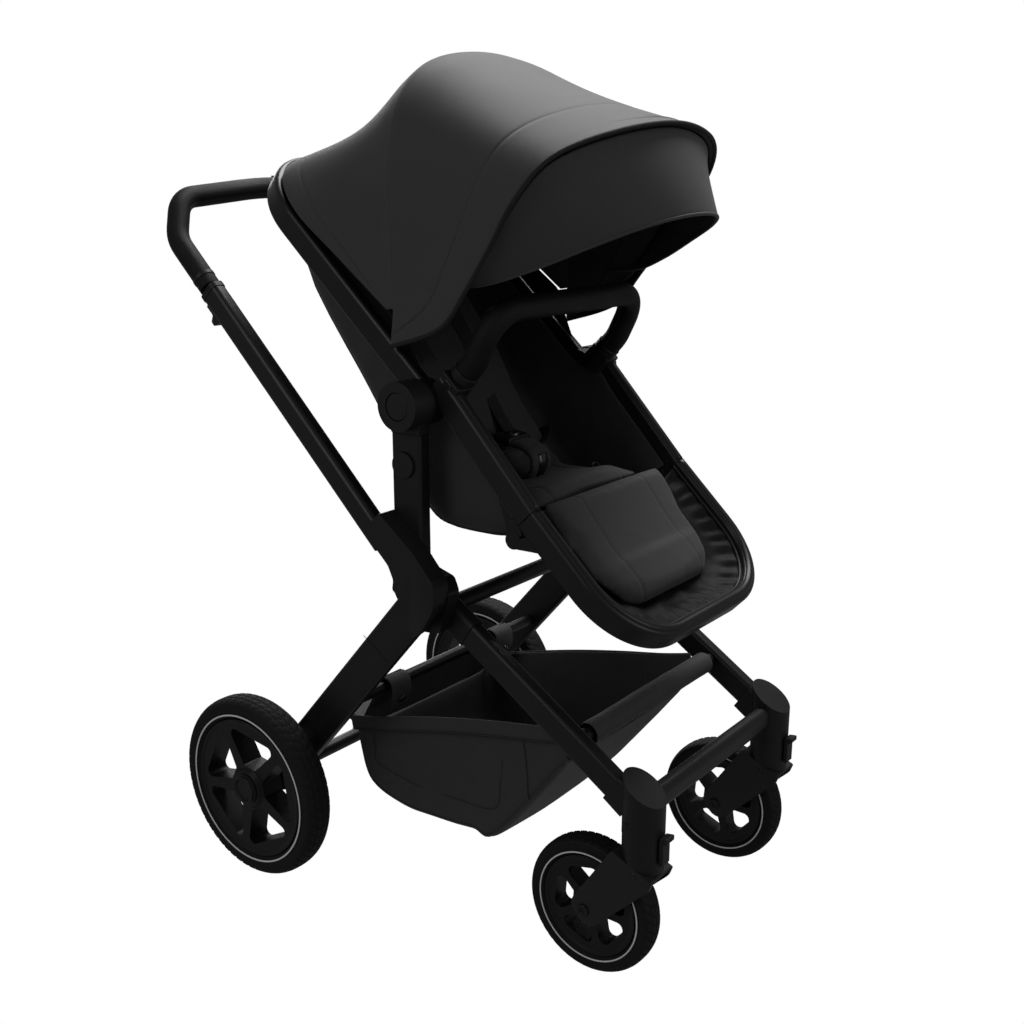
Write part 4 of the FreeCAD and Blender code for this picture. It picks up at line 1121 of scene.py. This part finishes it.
def seat_pads():
    line = spline([at(0, y, z) for y, z in PAD_LINE], 90)
    halves = []
    for i in range(90):
        t = i / 89
        halves.append(np.interp(t, [0, 0.05, 0.2, 0.34, 0.42, 0.6, 0.85, 0.95, 1.0],
                                [0.128, 0.141, 0.146, 0.143, 0.137, 0.146, 0.14, 0.12, 0.086]))
    pad = slab("seat_cushion", line, halves, 0.020)
    puffed(pad, 0.006, 3.2, 0.006)
    crease = at(0, 60, 632)
    dent(pad, 0.0045, 0.006, lambda p: math.hypot(p.y - crease.y, p.z - crease.z) * 0.75)
    for x in (-0.083, 0.083):
        dent(pad, 0.0016, 0.0026, lambda p, x=x: abs(p.x - x * (1 + 0.6 * max(0.0, -p.y - 0.12))))
    dent(pad, 0.003, 0.004, lambda p: abs(p.z - 0.865) * 0.8)
    finish_piece(pad, "seat_fabric", "seat", replaces=("seat_pad",))

    start, end = at(0, -136, 620), at(0, -262, 484)
    line = [start.lerp(end, k / 59) + Vector((0, 0.004,
                                              -0.004)) * math.sin(math.pi * k / 59) for k in range(60)]
    halves = []
    for i in range(60):
        t = i / 59
        lower = max(0.0, (t - 0.52) / 0.48)
        halves.append(0.151 - 0.008 * t - 0.07 * (1 - math.sqrt(max(0.0, 1 - lower ** 2.2))))
    pad = slab("leg_rest_cushion", line, halves, 0.018, crown=0.32)
    puffed(pad, 0.006, 3.2, 0.005)
    for x in (-0.078, 0.078):
        dent(pad, 0.0014, 0.0022, lambda p, x=x: abs(p.x - x * (1 + 0.15 * (p.z - 0.55))))
    finish_piece(pad, "seat_fabric", "leg_rest", replaces=("leg_rest_pad",))


def leg_lining():
    """The slack lining under the leg pad, gathered on elastic along the loop."""
    x = RAIL_X - RAIL_WIDE / 2 - 1.5
    start, end = rest(2, -14), rest(REST_LENGTH - 12, -14)
    rim = cornered([(at(-x, *start), 0), (at(-x, *end), 0.094), (at(x, *end), 0.094), (at(x, *start),
            0)], 0.0035)
    centre = at(0, *rest(60, -40))
    normal = Vector((0, -math.sin(REST_SLOPE), math.cos(REST_SLOPE)))
    rows = []
    for k in range(15):
        f = k / 14
        row = []
        for i, p in enumerate(rim):
            target = Vector((p.x * 0.62, centre.y + (p.y - centre.y) * 0.62,
                             centre.z + (p.z - centre.z) * 0.62))
            point = p.lerp(target, f) - normal * 0.018 * math.sin(math.pi / 2 * f)
            gather = 0.0026 * math.sin(i * 0.9 + 2.2 * noise.noise(p * 30)) * math.exp(-((f
                    - 0.16) / 0.16) ** 2)
            slack = 0.006 * noise.noise(Vector((p.x * 24, p.y * 24, f * 3))) * math.sin(math.pi * f)
            row.append(point + normal * (gather + slack))
        rows.append(row)
    middle = [Vector((p.x * 0.35, centre.y + (p.y - centre.y) * 0.7,
                      centre.z + (p.z - centre.z) * 0.7)) for p in rows[-1]]
    rows.append(middle)
    piece = surface_piece("leg_rest_lining", rows, 0.0012, smooth=1)
    finish_piece(piece, "seat_fabric", "leg_rest", made=ELASTIC)
    declared_sheet(piece)


def harness():
    """Five-point harness: shoulder straps and pads, waist straps, padded crotch strap and buckle."""
    straps, pads = [], []
    side_up = (1, 0, 0)
    for _, s in SIDES:
        path = [at(s * 52, 262, 940), at(s * 54, 226, 893), at(s * 56, 180, 832), at(s * 52, 132, 766),
                at(s * 40, 86, 704), at(s * 26, 46, 668), at(s * 12, 18, 655)]
        line = spline(path, 70)
        straps.append(carried("strap", line, [(b, a) for a, b in band(0.025, 0.0018)], side_up))
        waist = [at(s * 141, 62, 652), at(s * 112, 46, 638), at(s * 70, 26, 636), at(s * 34, 14, 645),
                 at(s * 14, 10, 650)]
        straps.append(carried("strap", spline(waist, 40), band(0.025, 0.0018), (0, 0.5, 1)))
        line = evenly(line[16:40], 30)
        pads.append(carried("pad", line, [(b, a) for a, b in band(0.043, 0.012, 6)], side_up))
    strap = joined("harness_straps", straps)
    finish_piece(strap, "webbing", "seat", replaces=("harness",))
    pad = joined("harness_shoulder_pads", pads)
    puffed(pad, 0.005, 2.5, 0.003)
    finish_piece(pad, "seat_fabric", "seat", made=MATERIALS["webbing"])

    path = [at(0, -4, 604), at(0, -22, 612), at(0, -33, 628), at(0, -30, 645), at(0, -14, 654), at(0,
            10, 657)]
    line = spline(path, 44)
    crotch = carried("crotch_pad", line, band(0.047, 0.010, 6), (0, -1, 1))
    puffed(crotch, 0.0045, 2.5, 0.002)
    finish_piece(crotch, "seat_fabric", "seat")
    gloss = carried("crotch_band", line[12:25], band(0.026, 0.0142, 5), (0, -1, 1))
    finish_piece(gloss, "black_plastic", "seat", made=GLOSS)
    gloss.name = "crotch_strap_band"
    top = [at(0, 4, 660.5), at(0, 12, 661.5), at(0, 22, 663), at(0, 34, 665)]
    buckle = carried("harness_buckle", spline(top, 12), box_section(0.052, 0.013, 0.005), (0, 0, 1))
    rounded(buckle, 0.003)
    finish_piece(buckle, "black_plastic", "seat")
    button = turned_up("harness_buckle_button", at(0, 19, 669.5), 0.012, 0.0028)
    finish_piece(button, "black_plastic", "seat", made=GLOSS)
    ring = carried("d_ring", [at(96, -66, 611) + Vector((0.009 * math.cos(a), 0.004 * math.sin(a),
                                                         0.008 * math.sin(a)))
                              for a in [2 * math.pi * k / 28 for k in range(28)]], disc(0.0011, 8), (0,
                                      0.7, 0.7),
                   closed=True)
    finish_piece(ring, "bolt_steel", "seat")


def turned_up(name, centre, radius, height):
    """A low round button that faces up."""
    profile = [(0.0005, height), (radius * 0.72, height), (radius * 0.93, height * 0.8), (radius,
            height * 0.3),
               (radius, -height)]
    rows = [[centre + Vector((r * math.cos(a), r * math.sin(a), h)) for r, h in profile]
            for a in [2 * math.pi * k / 40 for k in range(40)]]
    return mesh_piece(name, [p for row in rows for p in row], lattice_faces(40, len(profile),
            wrap_rows=True))


# ------------------------------------------------------------------ the basket

def basket():
    """A sewn trough that hangs from the front sleeve and the rear tube and sags between them."""
    hem_line = [(200, 234), (150, 245), (80, 264), (0, 284), (-80, 301), (-150, 314), (-200, 326)]
    low_line = [(196, 205), (180, 128), (120, 101), (50, 99), (-20, 104), (-66, 112), (-192, 268)]
    count = 84
    tops, lows = spline([at(0, *p) for p in hem_line], count), spline([at(0, *p) for p in low_line], count)
    rows = []
    for i, (top, low) in enumerate(zip(tops, lows)):
        t = i / (count - 1)
        half = 0.164 - 0.003 * math.sin(math.pi * t)
        base = half - 0.006 - 0.008 * math.sin(math.pi * t)
        corner = 0.016
        drop = low - top
        row_half = []
        for k in range(13):
            f = k / 13
            pull = 0.007 * math.sin(math.pi * f) * math.sin(math.pi * t)
            row_half.append((half + (base - half) * f - pull, f * (1 - corner / max(drop.length, 0.03))))
        for k in range(6):
            angle = math.pi / 2 * k / 5
            row_half.append((base - corner + corner * math.cos(angle),
                             1 - corner / max(drop.length, 0.03) * (1 - math.sin(angle))))
        for k in range(1, 13):
            row_half.append(((base - corner) * (1 - k / 12),
                             1 + 0.03 * math.sin(math.pi * k / 24) * math.sin(math.pi * t)))
        full = row_half + [(-x, f) for x, f in reversed(row_half[:-1])]
        row = []
        for x, f in full:
            p = top + drop * f + Vector((x, 0, 0))
            wave = noise.noise(Vector((p.x * 11, p.y * 14, p.z * 18)))
            fine = noise.noise(Vector((p.x * 30, p.y * 36, p.z * 44)))
            amount = math.sin(math.pi * min(f, 0.93)) * (0.0042 * wave + 0.0014 * fine)
            p += Vector((math.copysign(amount, x) if abs(x) > base - corner else 0, 0, amount))
            row.append(p)
        rows.append(row)
    # The rear wall closes the trough and wraps over the rear tube.
    rear = []
    wrap = [(150, 300), (160, 292), (161, 282), (168, 262), (182, 240), (190, 212)]
    for k, (y, z) in enumerate(wrap):
        half = 0.150 + 0.010 * k / (len(wrap) - 1)
        columns = len(rows[0])
        rear.append([at(0, y, z) + Vector((half * (1 - 2 * j / (columns - 1)), 0,
                                           -0.003 * math.sin(math.pi * j / (columns
                                                   - 1)))) for j in range(columns)])
    shell = surface_piece("basket_cloth", rows, 0.0018, smooth=1)
    finish_piece(shell, "basket_fabric", replaces=("basket",))
    back_wall = surface_piece("basket_rear_wall", rear, 0.0018, smooth=1)
    finish_piece(back_wall, "basket_fabric", "rear_frame")
    # Hem band, its two stitch rows, the sleeve on the front tube and the piping down each front corner.
    hems, threads, pipes = [], [], []
    for s in (1, -1):
        line = [Vector((s * 0.1655, p.y, p.z - 0.011)) for p in tops]
        hems.append(carried("hem", line, box_section(0.0026, 0.0235, 0.001), (0, 0, 1)))
        for low in (0.0205, 0.0235):
            stitch = [Vector((s * 0.1672, p.y, p.z - low)) for p in tops]
            threads.append(stitches("thread", stitch, (1, 0, 0)))
        pick = 15 if s == 1 else len(rows[0]) - 16
        line = [row[pick] + Vector((s * 0.001, 0, -0.001)) for row in rows[2:-2]]
        pipes.append(carried("pipe", line, disc(0.0022, 8), (1, 0, 0)))
        inset = []
        for (i0, k0), (i1, k1) in (((8, 3), (14, 10)), ((14, 10), (52, 11)), ((52, 11), (60, 3))):
            for step in range(12):
                share = step / 12
                i, k = i0 + (i1 - i0) * share, k0 + (k1 - k0) * share
                row = rows[round(i)]
                low = min(int(k), 14)
                p = row[low if s == 1 else -1 - low].lerp(row[low + 1 if s == 1 else -2 - low], k - low)
                inset.append(p + Vector((s * 0.0014, 0, 0)))
        threads.append(stitches("thread", spline(inset[::4], 90), (1, 0, 0)))
        k = 66
        line = [p + Vector((s * 0.0008, 0, 0)) for p in (rows[k][1:16] if s == 1 else rows[k][-16:-1])]
        pipes.append(carried("pipe", line, disc(0.0024, 8), (0, 1, 0)))
    hem = joined("basket_hem", hems)
    finish_piece(hem, "basket_fabric")
    thread = joined("basket_stitching", threads)
    finish_piece(thread, "basket_fabric", made=THREAD)
    pipe = joined("basket_piping", pipes)
    finish_piece(pipe, "basket_fabric")
    for piece in (shell, hem, thread, pipe):
        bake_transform(piece)
    line = [at(-158 + 316 * k / 60, -225, 320) for k in range(61)]
    rows = []
    for i, p in enumerate(line):
        puff = 0.0155 + 0.0012 * noise.noise(p * 22)
        rows.append([p + Vector((0, puff * math.cos(a), puff * math.sin(a)))
                     for a in [2 * math.pi * k / 24 for k in range(24)]])
    sleeve = surface_piece("basket_front_sleeve", rows, 0.0016, wrap_columns=True, smooth=1)
    finish_piece(sleeve, "basket_fabric", "frame")
    declared_sheet(shell)
    declared_sheet(back_wall)
    declared_sheet(sleeve)
    tabs = []
    for s in (1, -1):
        line = spline([at(s * 128, 172, 268), at(s * 128, 163, 290), at(s * 128, 150, 303), at(s * 128,
                134, 297),
                       at(s * 128, 131, 276), at(s * 128, 138, 256)], 30)
        tabs.append(carried("tab", line, band(0.042, 0.0026), (0, 1, 0)))
    tab = joined("basket_snap_tabs", tabs)
    finish_piece(tab, "basket_fabric", "rear_frame")
    snaps = [turned_side("snap", at(s * 128, 130.5, 268), 0.0062) for s in (1, -1)]
    finish_piece(joined("basket_snaps", snaps), "black_plastic", "rear_frame", made=GLOSS)


def turned_side(name, centre, radius):
    """A snap fastener that faces forward."""
    profile = [(0.0003, -0.0036), (radius * 0.6, -0.0034), (radius * 0.9, -0.0022), (radius, 0.0)]
    rows = [[centre + Vector((r * math.cos(a), h, r * math.sin(a))) for r, h in profile]
            for a in [2 * math.pi * k / 24 for k in range(24)]]
    return mesh_piece(name, [p for row in rows for p in row], lattice_faces(24, len(profile),
            wrap_rows=True))


# ------------------------------------------------------------------ build

studio()
cad_parts()
rail_ridges()
knee_clips()
bumper_fittings()
wheels()
casters()
handle_details()
small_lines()
hood()
tub()
seat_pads()
leg_lining()
harness()
basket()
